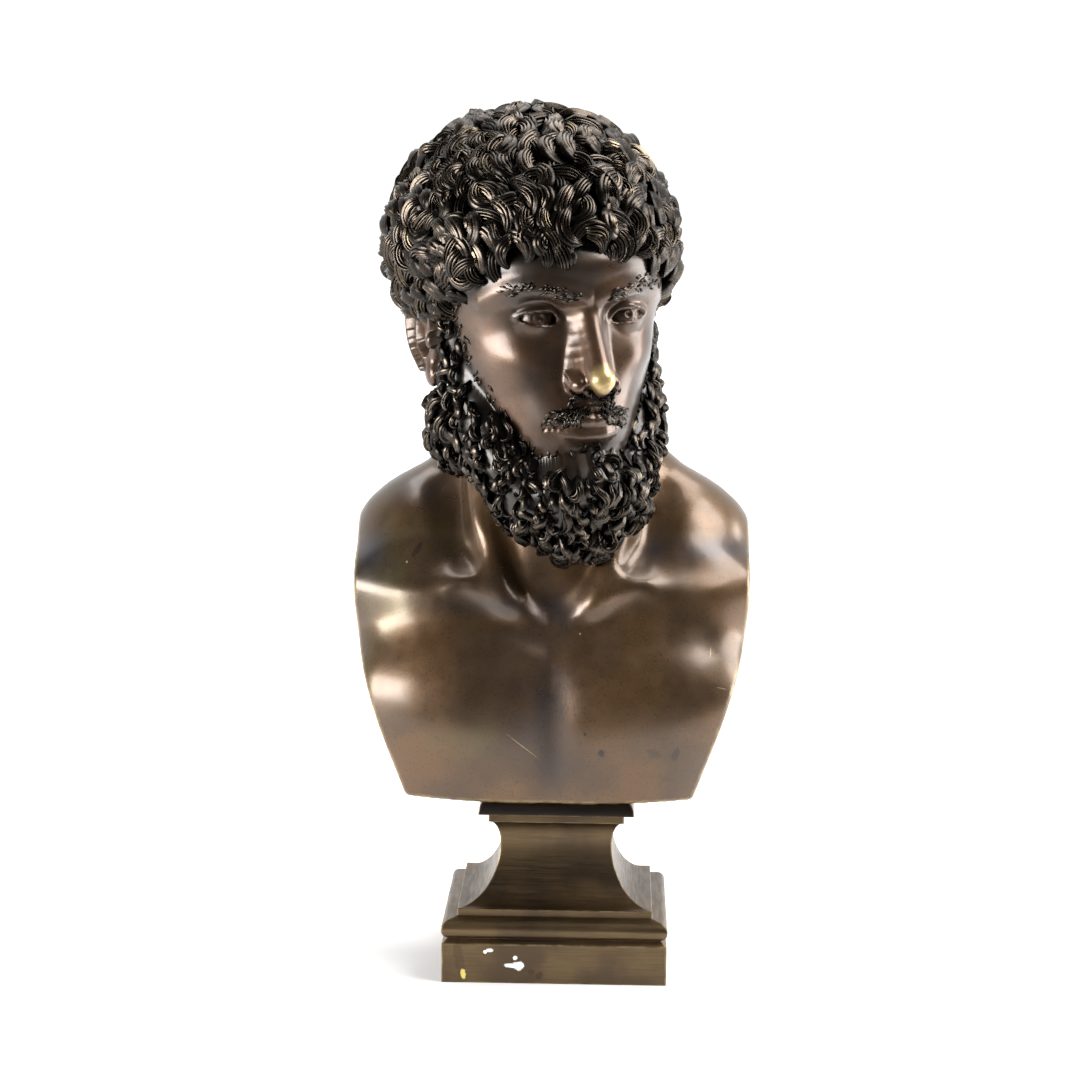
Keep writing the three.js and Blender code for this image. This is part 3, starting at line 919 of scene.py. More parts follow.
@dataclass
class Beard:
    """The beard and sideburns: small tight curls in two layers, with ringlets along the lower edge."""

    head: Head
    neck: Torso
    middle: Place = (0.0, -20.0, -70.0)
    tries: int = 2600
    seed: int = 11
    ringlets_below: float = -128.0
    ringlets_ahead: float = -60.0
    ringlet_spacing: float = 13.0
    layers: Sequence[tuple[float, LockStyle]] = (
        (10.5, LockStyle(length=22, width=6.0, thickness=3.0, strands=2, rib=1.5, first_turn=1.0, last_turn=8,
                         hook=1, lean=0.8, lift=-2.5, arch=2, steps=10, bright=0.5)),
        (8.6, LockStyle(length=24, width=4.6, thickness=2.6, strands=2, rib=1.5, first_turn=-2.0,
                        last_turn=13, hook=1.2, lean=0.6, lift=-0.8, arch=2.5, steps=12)),
    )
    ringlet: LockStyle = LockStyle(length=34, width=5, thickness=3.2, strands=2, rib=1.6, first_turn=0.5,
                                   last_turn=16, hook=1.2, lean=0.7, lift=0.5, arch=2.5, steps=20)

    def roots(self) -> np.ndarray:
        """Places all over the outside of the beard that aren't inside the face or under the hair."""
        directions = even_directions(self.tries)
        reach = cast_onto(self.head.beard, np.array(self.middle), directions, self.head.reach)
        roots = np.array(self.middle) + directions * reach[:, None]
        shown = (reach > 0) & (self.head.skin(roots) > 0.5) & (self.head.hair(roots) > -4)
        return roots[shown & (self.neck.surface(self.head.to_bust(roots)) > 0.5)]

    def build(self) -> MeshData:
        """All curls as one mesh in the bust's millimetres."""
        rng = np.random.default_rng(self.seed)
        bed = LockBed(self.head.beard, (0.0, 0.0, 1.0), rng)
        parts = []
        for spacing, style in self.layers:
            roots = rng.permutation(self.roots())
            roots = roots[thinned(roots, spacing)]
            parts.append(bed.grow(roots, bed.toss(len(roots)), style))
        low = roots[(roots[:, 2] < self.ringlets_below) & (roots[:, 1] < self.ringlets_ahead)]
        low = low[thinned(low, self.ringlet_spacing)]
        parts.append(bed.grow(low, bed.toss(len(low)), self.ringlet))
        made = joined(parts)
        made.vertices = self.head.to_bust(made.vertices)
        return made


@dataclass
class Whiskers:
    """Moustache, eyebrows and the short hairs along the edges of the beard, laid on the skin."""

    head: Head
    seed: int = 5
    brow: Strand = Strand(((8, -96, 16), (22, -96, 20), (38, -89, 23), (52, -75, 19)), (2.2, 3, 2.6, 1.4))
    brow_hair: LockStyle = LockStyle(length=8, width=1.7, thickness=0.9, strands=1, rib=0.3, first_turn=0,
                                     last_turn=0.8, hook=1, lean=0.5, lift=-0.2, arch=0.5, steps=7,
                                     bright=0.6)
    lip: Strand = Strand(((5, -108, -56), (15, -102, -59.5), (26, -93, -66)), (3.2, 4.2, 3.2))
    lip_hair: LockStyle = LockStyle(length=9, width=2.2, thickness=1.2, strands=1, rib=0.5, first_turn=-1,
                                    last_turn=3, hook=1, lean=0.4, lift=-0.3, arch=0.8, steps=8, bright=0.6)
    edge_hair: LockStyle = LockStyle(length=9, width=1.9, thickness=1.1, strands=1, rib=0.3, first_turn=-1,
                                     last_turn=4, hook=1, lean=0.6, lift=-0.2, arch=0.7, steps=7, bright=0.7)

    brow_count: int = 44
    brow_fall: float = 0.1
    lip_count: int = 90
    lip_fall: float = 0.7
    edge_tries: int = 9000
    edge_spacing: float = 4.0
    edge_band: tuple[float, float] = (0.5, 6.0)
    edge_ahead: float = -15.0
    edge_above: float = -100.0

    def along(self, strand: Strand, count: int, rng: np.random.Generator) -> np.ndarray:
        """Random places within the reach of a strand.

        Args:
            strand: The strand.
            count: How many places.
            rng: The seeded source of variation.

        Returns:
            The places, shape (count, 3).
        """
        rows = strand.knots()
        place = rng.uniform(0, len(rows) - 1, count)
        at = np.stack([np.interp(place, np.arange(len(rows)), column) for column in rows.T], -1)
        return at[:, :3] + rng.uniform(-1, 1, (count, 3)) * at[:, 3:]

    def build(self) -> MeshData:
        """All short hairs as one mesh in the bust's millimetres."""
        rng = np.random.default_rng(self.seed)
        parts = []
        for side in (-1, 1):
            flip = np.array([side, 1, 1])
            for strand, style, count, fall in (
                (self.brow, self.brow_hair, self.brow_count, self.brow_fall),
                (self.lip, self.lip_hair, self.lip_count, self.lip_fall),
            ):
                bed = LockBed(self.head.skin, (-side, 0.0, fall), rng)
                roots = self.along(strand, count, rng) * flip
                parts.append(bed.grow(roots, bed.toss(count), style))
        bed = LockBed(self.head.skin, (0.0, -0.25, 1.0), rng)
        directions = even_directions(self.edge_tries)
        skin = directions * cast_onto(self.head.skin, np.zeros(3), directions, self.head.reach)[:, None]
        away = self.head.beard(skin)
        keep = (away > self.edge_band[0]) & (away < self.edge_band[1]) & (self.head.hair(skin) > 1)
        keep &= (skin[:, 1] < self.edge_ahead) & (skin[:, 2] > self.edge_above)
        roots = rng.permutation(skin[keep])
        roots = roots[thinned(roots, self.edge_spacing)]
        parts.append(bed.grow(roots, bed.toss(len(roots)), self.edge_hair))
        made = joined(parts)
        made.vertices = self.head.to_bust(made.vertices)
        return made


@dataclass
class Torso:
    """Chest, shoulders and neck, cut by a tapering outline and flat underneath."""

    axis: float = -3.0
    bottom: float = 71.0
    cut_half: float = 78.3
    taper: float = 0.175
    taper_start: float = 133.0
    ease: float = 12.0
    corner: float = 1.6
    edge: float = 1.0
    worn: float = 1.3
    low: Place = (-86.0, -60.0, 67.0)
    high: Place = (80.0, 60.0, 278.0)
    pitch: float = 1.3
    quick_pitch: float = 2.2
    masses: Sequence[Mass] = (
        Mass("rib cage", Ellipsoid((0, 2, 96), (84, 46, 78))),
        Mass("shoulder", Ellipsoid((50, 7, 150), (32, 32, 45)), 18, pair=True),
        Mass("breast", Ellipsoid((36, -20, 110), (42, 26, 30)), 18, pair=True),
        Mass("upper back", Ellipsoid((34, 16, 162), (36, 24, 26)), 18, pair=True),
        Mass("upper breast", Ellipsoid((40, -6, 148), (34, 24, 20)), 16, pair=True),
        Mass("slope of the shoulder", Strand(((0, 14, 222), (17, 16, 207), (42, 12, 184), (62, 8, 172)),
                                             (26, 22, 15, 12)), 12, pair=True),
        Mass("neck", Strand(((0, 3, 135), (0, 0, 240)), (34, 34)), 10),
        Mass("collar bone", Strand(((5, -32.5, 142.5), (20, -33.5, 151), (35, -28.5, 158)), (4.2, 4.6, 5)),
             7, pair=True),
        Mass("end of the collar bone", Strand(((35, -27, 158), (56, -20, 156), (82, -10, 152)), (4.5, 5, 6)),
             16, pair=True),
        Mass("neck tendon", Strand(((17, -34, 149), (20.5, -32, 158), (26, -24, 174), (27, -8, 206)),
                                   (3.2, 4, 6.5, 7)), 7, pair=True),
        Mass("notch of the throat", Ellipsoid((1, -42, 150), (10, 8, 10)), 7, carve=True),
        Mass("hollow over the collar bone",
             Strand(((38, -36, 169), (56, -35, 166), (82, -30, 164)), (6, 4, 2)), 12, pair=True, carve=True),
        Mass("hollow under the collar bone", Strand(((0, -43, 135), (18, -44, 144), (34, -40, 151)),
                                                    (2.5, 2.5, 1.5)), 7, pair=True, carve=True),
        Mass("side of the neck", Strand(((45, -12, 194), (41, -25, 180), (34, -33, 168)), (2, 3, 2)),
             9, pair=True, carve=True),
        Mass("furrow of the breast bone", Strand(((0, -53, 130), (0, -50, 60)), (2.5, 6)), 12, carve=True),
        Mass("shoulder blade", Ellipsoid((38, 36, 128), (26, 12, 36)), 16, pair=True),
        Mass("furrow of the spine", Strand(((0, 53, 190), (0, 57, 130), (0, 52, 66)), (4, 6, 4)), 14,
             carve=True),
    )
    # Dark clouding: patina on the left shoulder, painted shade at the side of the neck, in the notch of the
    # throat, by the collar bones and in the furrow, and a painted dark reflection down the middle of the
    # chest: middle, spread and strength
    clouds_and_shade: Sequence[tuple[Place, Place, float]] = (
        ((-75, -18, 165), (9, 30, 13), 1.0),
        ((-57, -8, 190), (16, 20, 7), 0.6),
        ((-2, -34, 146), (9, 12, 7), 0.8),
        ((-4, -42, 113), (12, 20, 26), 0.75),
        ((-2, -42, 86), (8, 20, 16), 0.6),
        ((62, -20, 169), (18, 16, 4), 0.8),
        ((38, -23, 169), (5, 10, 4), 0.9),
        ((-24, -36, 148), (22, 12, 4), 0.6),
    )

    def cut(self, height: np.ndarray) -> np.ndarray:
        """Half width of the cut outline at a height."""
        below = self.taper_start - height
        return self.cut_half - self.taper * (below + np.hypot(below, self.ease))

    def parts(self, points: np.ndarray) -> tuple[np.ndarray, np.ndarray]:
        """Distances to the uncut body and to the outline that cuts it."""
        moved = points - np.array([self.axis, 0, 0])
        side = np.abs(moved[..., 0]) - self.cut(moved[..., 2])
        outline = smooth_more(side * 0.97, self.bottom - moved[..., 2], self.corner)
        return sculpt(self.masses, moved), outline

    def surface(self, points: np.ndarray) -> np.ndarray:
        """Distance to the cut torso."""
        return smooth_more(*self.parts(points), self.edge)

    def build(self) -> MeshData:
        """The torso as a closed mesh of even quads, its patina clouding with painted shade and its cut edges
        marked.
        """
        pitch = self.pitch
        made = SurfaceNet(self.surface, self.low, self.high, pitch).build()
        body, outline = self.parts(made.vertices)
        # Dark patina clouding and painted shade in the hollows, with a painted dark reflection on the middle
        # of the chest
        cloud_and_shade = np.zeros(len(made.vertices))
        for place, spread, strength in self.clouds_and_shade:
            away = (made.vertices - np.array(place)) / np.array(spread)
            cloud_and_shade = np.maximum(cloud_and_shade, strength * np.exp(-(away * away).sum(-1)))
        made.marks = {
            Mark.CLOUD_AND_SHADE: cloud_and_shade,
            Mark.EDGE: np.clip(1 - np.maximum(np.abs(body), np.abs(outline)) / self.worn, 0, 1),
        }
        return made


@dataclass
class Plinth:
    """The square moulded plinth: a profile carried round a plan with barely rounded corners."""

    block_half: float = 44.0
    block_top: float = 15.5
    groove: tuple[float, float] = (41.8, 17.3)
    roll: tuple[float, float, float] = (44.3, 20.9, 3.8)
    foot: tuple[float, float, float] = (38.2, 25.4, 28.1)
    waist: tuple[float, float] = (22.0, 51.2)
    necking: tuple[float, float, float] = (26.8, 60.4, 64.0)
    cap: tuple[float, float, float] = (30.7, 28.6, 70.7)
    rounding: float = 0.3
    corner: float = 0.35
    curve_steps: int = 24

    def arc(
        self, middle: tuple[float, float], radii: tuple[float, float], start: float, end: float
    ) -> np.ndarray:
        """Points on an arc of the profile.

        Args:
            middle: Half width and height of its centre.
            radii: Its half sizes across and up.
            start: Angle of its first point in degrees.
            end: Angle of its last point.

        Returns:
            Rows of half width and height.
        """
        angle = np.radians(np.linspace(start, end, self.curve_steps + 1))
        return np.array(middle) + np.stack([np.cos(angle), np.sin(angle)], -1) * np.array(radii)

    def outline(self) -> np.ndarray:
        """The profile from the underside to the top, with sharp corners, as rows of half width and height."""
        roll_half, roll_height, roll_radius = self.roll
        foot_half, foot_bottom, foot_top = self.foot
        waist_half, waist_height = self.waist
        neck_half, neck_bottom, neck_top = self.necking
        cap_half, shoulder, top = self.cap
        return np.array([
            (self.block_half - 3, 0),
            (self.block_half, 0),
            (self.block_half, self.block_top),
            self.groove,
            *self.arc((roll_half - roll_radius, roll_height), (roll_radius, roll_radius), -50, 80),
            (foot_half, foot_bottom),
            (foot_half, foot_top),
            *self.arc((foot_half, waist_height), (foot_half - waist_half, waist_height - foot_top), 262, 180),
            *self.arc((neck_half, waist_height), (neck_half - waist_half, neck_bottom - waist_height),
                      172, 96),
            (neck_half, neck_bottom),
            (neck_half, neck_top),
            *self.arc((shoulder - 3, neck_top), (cap_half - shoulder + 3, top - neck_top), 0, 62),
            (shoulder - 2, top),
            (shoulder - 5, top),
        ])

    def rounded(self, outline: np.ndarray) -> tuple[np.ndarray, np.ndarray]:
        """Rounds the outline's corners; flats get a point beside each rounding so that they shade flat.

        Args:
            outline: Points of the sharp profile.

        Returns:
            The finer profile, and for each of its points 1 on a worn corner that stands out and 0 elsewhere.
        """
        points, worn = [outline[0]], [0.0]
        for before, corner, after in zip(outline, outline[1:], outline[2:]):
            back, on = before - corner, after - corner
            reach = min(self.rounding, 0.4 * np.hypot(*back), 0.4 * np.hypot(*on))
            back, on = back / np.hypot(*back), on / np.hypot(*on)
            if back @ on < -0.9:
                points.append(corner)
                worn.append(0.0)
                continue
            stands_out = 1.0 if back[0] * on[1] - back[1] * on[0] < 0 else 0.0
            start, end = corner + back * reach, corner + on * reach
            points += [start + back * reach, start]
            for t in (0.25, 0.5, 0.75):
                points.append(start * (1 - t) ** 2 + corner * 2 * t * (1 - t) + end * t**2)
            points += [end, end + on * reach]
            worn += [0.0, 0.6 * stands_out, stands_out, stands_out, stands_out, 0.6 * stands_out, 0.0]
        return np.array([*points, outline[-1]]), np.array([*worn, 0.0])

    def ring(self, half: float) -> tuple[np.ndarray, np.ndarray]:
        """A square of this half width with rounded corners, and 1 for each of its points on a corner."""
        turn = np.radians(np.linspace(0, 90, 5))
        corner = (half - self.corner) + self.corner * np.stack([np.cos(turn), np.sin(turn)], -1)
        flat = half - 2.5 * self.corner
        side = np.array([*corner, (flat, half), (0, half), (-flat, half)])
        quarters = [side @ np.array([[math.cos(a), math.sin(a)], [-math.sin(a), math.cos(a)]])
                    for a in np.radians([0, 90, 180, 270])]
        on_corner = np.tile([0.6, 1, 1, 1, 0.6, 0, 0, 0], 4)
        return np.concatenate(quarters), on_corner

    def build(self) -> MeshData:
        """The plinth as a closed mesh with its worn edges marked."""
        profile, worn = self.rounded(self.outline())
        vertices, edge = [], []
        for (half, height), wear in zip(profile, worn):
            ring, on_corner = self.ring(half)
            vertices.append(np.column_stack([ring, np.full(len(ring), height)]))
            edge.append(np.maximum(on_corner, wear))
        columns = len(vertices[0])
        last = (len(profile) - 1) * columns
        faces = [list(range(columns))[::-1], [last + i for i in range(columns)]]
        for low in range(0, last, columns):
            for i in range(columns):
                after = (i + 1) % columns
                faces.append([low + i, low + after, low + columns + after, low + columns + i])
        return MeshData(np.concatenate(vertices), faces, {Mark.EDGE: np.concatenate(edge)})


class Wiring:
    """A material's nodes, added one short call at a time."""

    def __init__(self, name: str) -> None:
        """Starts a material.

        Args:
            name: The material's name.
        """
        self.material = bpy.data.materials.new(name)
        self.material.use_nodes = True
        self.tree = self.material.node_tree
        self.shader = self.tree.nodes["Principled BSDF"]
        self.place = self.tree.nodes.new("ShaderNodeTexCoord").outputs["Object"]

    def node(self, kind: str, inputs: dict[str | int, object], **settings: object) -> bpy.types.Node:
        """Adds a node.

        Args:
            kind: Its type.
            inputs: A socket to link, or a constant, for each of its inputs.
            **settings: Its properties.

        Returns:
            The new node.
        """
        made = self.tree.nodes.new(kind)
        for key, value in settings.items():
            setattr(made, key, value)
        for key, value in inputs.items():
            self.feed(made.inputs[key], value)
        return made

    def feed(self, socket: bpy.types.NodeSocket, value: object) -> None:
        """Links a socket, or sets its constant."""
        if isinstance(value, bpy.types.NodeSocket):
            self.tree.links.new(value, socket)
        else:
            socket.default_value = value

    def shade(self, **inputs: object) -> None:
        """Feeds the shader; underscores in the names stand for spaces."""
        for key, value in inputs.items():
            self.feed(self.shader.inputs[key.replace("_", " ")], value)

    def noise(self, size: float, detail: float = 3.0, stretch: Place = (1, 1, 1)) -> bpy.types.NodeSocket:
        """Noise about 0.5 with blotches this many millimetres across, times the stretch on each axis."""
        scale = tuple(1 / (size * MM * factor) for factor in stretch)
        place = self.node("ShaderNodeMapping", {"Vector": self.place, "Scale": scale}).outputs[0]
        return self.node("ShaderNodeTexNoise", {"Vector": place, "Scale": 1.0, "Detail": detail}).outputs[0]

    def span(
        self, value: object, low: float, high: float, start: float = 0.0, end: float = 1.0
    ) -> bpy.types.NodeSocket:
        """Carries a value from low..high smoothly onto start..end."""
        inputs = {"Value": value, "From Min": low, "From Max": high, "To Min": start, "To Max": end}
        return self.node("ShaderNodeMapRange", inputs, interpolation_type="SMOOTHSTEP").outputs[0]

    def times(self, first: object, second: object) -> bpy.types.NodeSocket:
        """The product of two values."""
        return self.node("ShaderNodeMath", {0: first, 1: second}, operation="MULTIPLY").outputs[0]

    def mix(self, share: object, first: object, second: object) -> bpy.types.NodeSocket:
        """Colour that goes from the first to the second with the share."""
        made = self.tree.nodes.new("ShaderNodeMix")
        made.data_type = "RGBA"
        for key, value in (("Factor", share), ("A", first), ("B", second)):
            plain = isinstance(value, tuple)
            self.feed(made.inputs[key], (*value, 1.0) if plain else value)
        return made.outputs["Result"]

    def mark(self, mark: Mark) -> bpy.types.NodeSocket:
        """A mark of the mesh."""
        return self.node("ShaderNodeAttribute", {}, attribute_name=mark.value).outputs["Fac"]

    def height(self) -> bpy.types.NodeSocket:
        """Height above the floor in metres."""
        return self.node("ShaderNodeSeparateXYZ", {0: self.place}).outputs["Z"]

    def spot(self, spot: Spot) -> bpy.types.NodeSocket:
        """1 inside a spot and 0 outside, with a soft edge roughened by noise."""
        inputs = {
            "Vector": self.place,
            "Location": tuple(value * MM for value in spot.middle),
            "Rotation": (0.0, math.radians(spot.turn), 0.0),
            "Scale": tuple(value * MM for value in spot.radii),
        }
        place = self.node("ShaderNodeMapping", inputs, vector_type="TEXTURE").outputs[0]
        away = self.node("ShaderNodeVectorMath", {0: place}, operation="LENGTH").outputs["Value"]
        rough = self.node("ShaderNodeMath", {0: self.noise(1.5), 1: away}, operation="ADD").outputs[0]
        return self.span(rough, 1.2, 1.55, spot.strength, 0.0)

    def bump(self, height: object, distance: float, strength: float = 1.0) -> None:
        """Roughens the shader's surface by a height, in millimetres."""
        inputs = {"Height": height, "Distance": distance * MM, "Strength": strength}
        self.shade(Normal=self.node("ShaderNodeBump", inputs).outputs[0])


@dataclass(frozen=True)
class Spot:
    """A mark left on the surface.

    Attributes:
        middle: Its place in millimetres.
        radii: Its half sizes; the one along Y only has to reach through the skin.
        strength: How much of it shows.
        turn: Its tilt about Y in degrees.
    """

    middle: Place
    radii: Place
    strength: float = 1.0
    turn: float = 0.0


@dataclass(frozen=True)
class SkinFinish:
    """Brown lacquered patina of the chest and face, clouded, pitted and rubbed at the edges and nose, with
    painted shade in the hollows of the chest and under the locks.
    """

    name: str = "patinated bronze"
    brown: Colour = (0.075, 0.045, 0.024)
    golden: Colour = (0.115, 0.062, 0.026)
    olive: Colour = (0.090, 0.068, 0.026)
    metallic: float = 0.6
    # Dark patina clouding, also used as painted shade in the chest's hollows
    cloud_and_shade: Colour = (0.040, 0.036, 0.040)
    pit: Colour = (0.030, 0.020, 0.014)
    # Near-black painted shade for the skin under the locks
    shade_under_locks: Colour = (0.020, 0.015, 0.011)
    rubbed: Colour = (0.55, 0.40, 0.17)
    spots: Sequence[Spot] = (
        Spot((17.5, -46, 92.7), (1.6, 9, 1.6)),
        Spot((38, -44.5, 92.5), (3.2, 9, 2.0), 0.45, 25),
        Spot((46.3, -42.4, 91.9), (1.6, 9, 3.2), 0.7, 15),
        Spot((11.1, -46.8, 100.1), (0.7, 9, 0.7)),
        Spot((-55.6, -24.5, 168), (1.2, 9, 3.8), 0.7, 35),
    )
    scratches: Sequence[Spot] = (
        Spot((-13.2, -45, 94.8), (0.15, 9, 8.5), 0.5, -50),
        Spot((59.3, -34, 131), (0.15, 9, 2.0), 0.5, 3),
        Spot((63.7, -37.5, 117.3), (2.8, 9, 0.15), 0.5, 17),
        Spot((-59.4, -26.4, 163.5), (0.45, 9, 0.45)),
        Spot((8.6, -37.8, 137.9), (0.35, 9, 0.35)),
    )

    def material(self) -> bpy.types.Material:
        """Builds the node material."""
        wiring = Wiring(self.name)
        colour = wiring.mix(wiring.span(wiring.noise(34, 4), 0.38, 0.62), self.brown, self.golden)
        colour = wiring.mix(wiring.span(wiring.noise(52, 3), 0.56, 0.7, 0, 0.7), colour, self.olive)
        # Dark patina clouding and painted shade in the chest's hollows, broken up by noise
        blotched_and_shaded = wiring.times(wiring.mark(Mark.CLOUD_AND_SHADE), wiring.span(wiring.noise(12, 4), 0.25, 0.6, 0.5, 1))
        colour = wiring.mix(blotched_and_shaded, colour, self.cloud_and_shade)
        grain = wiring.noise(0.9, 3)
        colour = wiring.mix(wiring.span(grain, 0.56, 0.72, 0, 0.55), colour, self.pit)
        # Painted shade on the skin under hair and beard
        colour = wiring.mix(wiring.mark(Mark.SHADE_UNDER_LOCKS), colour, self.shade_under_locks)
        worn = wiring.times(wiring.mark(Mark.EDGE), wiring.span(wiring.noise(6), 0.35, 0.6, 0.2, 0.8))
        colour = wiring.mix(worn, colour, self.rubbed)
        nose = wiring.times(wiring.mark(Mark.RUBBED), wiring.span(wiring.noise(5), 0.3, 0.55, 0.35, 0.95))
        colour = wiring.mix(nose, colour, self.rubbed)
        for spot in self.spots:
            colour = wiring.mix(wiring.spot(spot), colour, self.pit)
        for scratch in self.scratches:
            colour = wiring.mix(wiring.spot(scratch), colour, self.rubbed)
        roughness = wiring.span(wiring.noise(9, 5), 0.3, 0.7, 0.27, 0.4)
        wiring.shade(Base_Color=colour, Metallic=self.metallic, Roughness=roughness)
        wiring.shade(Coat_Weight=0.5, Coat_Roughness=0.2)
        wiring.bump(grain, 0.06, 0.5)
        return wiring.material


def face_finish() -> SkinFinish:
    """The darker and redder patina of the face."""
    brown, golden, olive = (0.040, 0.027, 0.019), (0.095, 0.050, 0.026), (0.060, 0.038, 0.024)
    return SkinFinish("bronze of the face", brown, golden, olive)


@dataclass(frozen=True)
class LockFinish:
    """Hair and beard: near-black painted shade in the grooves and under and at the ends of the locks, brown on
    the ribs and rubbed golden along the highest ones, which also paints their highlight.
    """

    # Near-black painted shade of the grooves and the ends of the locks
    groove_shade: Colour = (0.018, 0.016, 0.014)
    brown: Colour = (0.085, 0.064, 0.046)
    # Rubbed golden tone that also paints the highlight on the highest ribs
    gold_and_highlight: Colour = (0.50, 0.39, 0.20)

    def material(self) -> bpy.types.Material:
        """Builds the node material."""
        wiring = Wiring("bronze of the locks")
        crest_wear_and_light = wiring.mark(Mark.CREST_WEAR_AND_LIGHT)
        # Painted shade in the grooves and at the ends, brown on the ribs
        colour = wiring.mix(wiring.span(crest_wear_and_light, 0.0, 0.6), self.groove_shade, self.brown)
        patches = wiring.span(wiring.noise(14, 3), 0.42, 0.66, 0.05, 0.8)
        # Rubbed golden wear with painted highlight along the highest ribs
        rubbed = wiring.times(wiring.span(crest_wear_and_light, 0.55, 0.95), patches)
        colour = wiring.mix(rubbed, colour, self.gold_and_highlight)
        grain = wiring.noise(0.7, 3)
        wiring.shade(Base_Color=colour, Metallic=1.0, Roughness=wiring.span(grain, 0.3, 0.7, 0.22, 0.36))
        wiring.shade(Coat_Weight=wiring.span(crest_wear_and_light, 0.0, 0.5, 0.0, 0.4), Coat_Roughness=0.2)
        wiring.bump(grain, 0.04, 0.5)
        return wiring.material


@dataclass(frozen=True)
class PlinthFinish:
    """Duller brown of the plinth, brushed level, with painted shade on the cap under the bust, worn edges and
    flecks of paint.
    """

    brown: Colour = (0.145, 0.098, 0.050)
    dark: Colour = (0.088, 0.060, 0.036)
    # Painted shade on the cap: the dark reflection of the bust's underside
    cap: Colour = (0.040, 0.033, 0.029)
    rubbed: Colour = (0.34, 0.25, 0.13)
    stain: Colour = (0.070, 0.042, 0.026)
    white: Colour = (0.88, 0.88, 0.86)
    yellow: Colour = (0.62, 0.50, 0.12)
    cap_shade_from: float = 63.0
    flecks: Sequence[Spot] = (
        Spot((-26.9, -44, 12.4), (0.9, 3, 0.9)),
        Spot((-25.3, -44, 13.1), (1.6, 3, 0.9), 0.8),
        Spot((-15.1, -44, 10.2), (1.1, 3, 1.0)),
        Spot((-16.6, -44, 7.0), (3.4, 3, 0.9), 1.0, 5),
        Spot((-13.6, -44, 7.1), (2.4, 3, 1.9)),
    )
    drops: Sequence[Spot] = (
        Spot((-35.4, -44, 3.6), (1.1, 3, 2.3)),
    )
    stains: Sequence[Spot] = (
        Spot((-8.8, -44, 4.6), (1.6, 3, 1.2), 0.7),
        Spot((-5.6, -44, 3.2), (1.8, 3, 1.6), 0.7),
        Spot((-37, -44, 9.5), (9, 3, 2), 0.4, 80),
    )

    def material(self) -> bpy.types.Material:
        """Builds the node material."""
        wiring = Wiring("bronze of the plinth")
        brushed = wiring.noise(1.0, 4, (16, 16, 0.45))
        colour = wiring.mix(wiring.span(wiring.noise(26, 4), 0.36, 0.64), self.dark, self.brown)
        colour = wiring.mix(wiring.span(brushed, 0.45, 0.7, 0, 0.45), colour, self.dark)
        # Painted shade on the cap under the bust, from this height up
        shaded_cap = wiring.span(wiring.height(), self.cap_shade_from * MM, (self.cap_shade_from + 2) * MM)
        colour = wiring.mix(shaded_cap, colour, self.cap)
        worn = wiring.times(wiring.mark(Mark.EDGE), wiring.span(wiring.noise(5), 0.35, 0.65, 0.1, 0.8))
        colour = wiring.mix(worn, colour, self.rubbed)
        for stain in self.stains:
            colour = wiring.mix(wiring.spot(stain), colour, self.stain)
        metallic: object = 1.0
        for paint, spots in ((self.white, self.flecks), (self.yellow, self.drops)):
            for spot in spots:
                share = wiring.spot(spot)
                colour = wiring.mix(share, colour, paint)
                bare = wiring.span(share, 0, 1, 1, 0)
                metallic = bare if metallic == 1.0 else wiring.times(metallic, bare)
        roughness = wiring.span(brushed, 0.3, 0.7, 0.36, 0.5)
        wiring.shade(Base_Color=colour, Metallic=metallic, Roughness=roughness)
        wiring.shade(Coat_Weight=0.15, Coat_Roughness=0.3)
        wiring.bump(brushed, 0.05, 0.6)
        return wiring.material


@dataclass(frozen=True)
class Lamp:
    """A soft rectangular lamp aimed at the object. Sizes and place in metres, power in watts."""

    name: str
    place: Place
    width: float
    height: float
    power: float
    target: Place = (0.0, 0.0, 0.17)

    def build(self) -> None:
        """Adds the lamp."""
        data = bpy.data.lights.new(self.name, "AREA")
        data.shape, data.size, data.size_y, data.energy = "RECTANGLE", self.width, self.height, self.power
        lamp = bpy.data.objects.new(self.name, data)
        lamp.location = self.place
        lamp.rotation_euler = (Vector(self.target) - Vector(self.place)).to_track_quat("-Z", "Y").to_euler()
        bpy.context.scene.collection.objects.link(lamp)


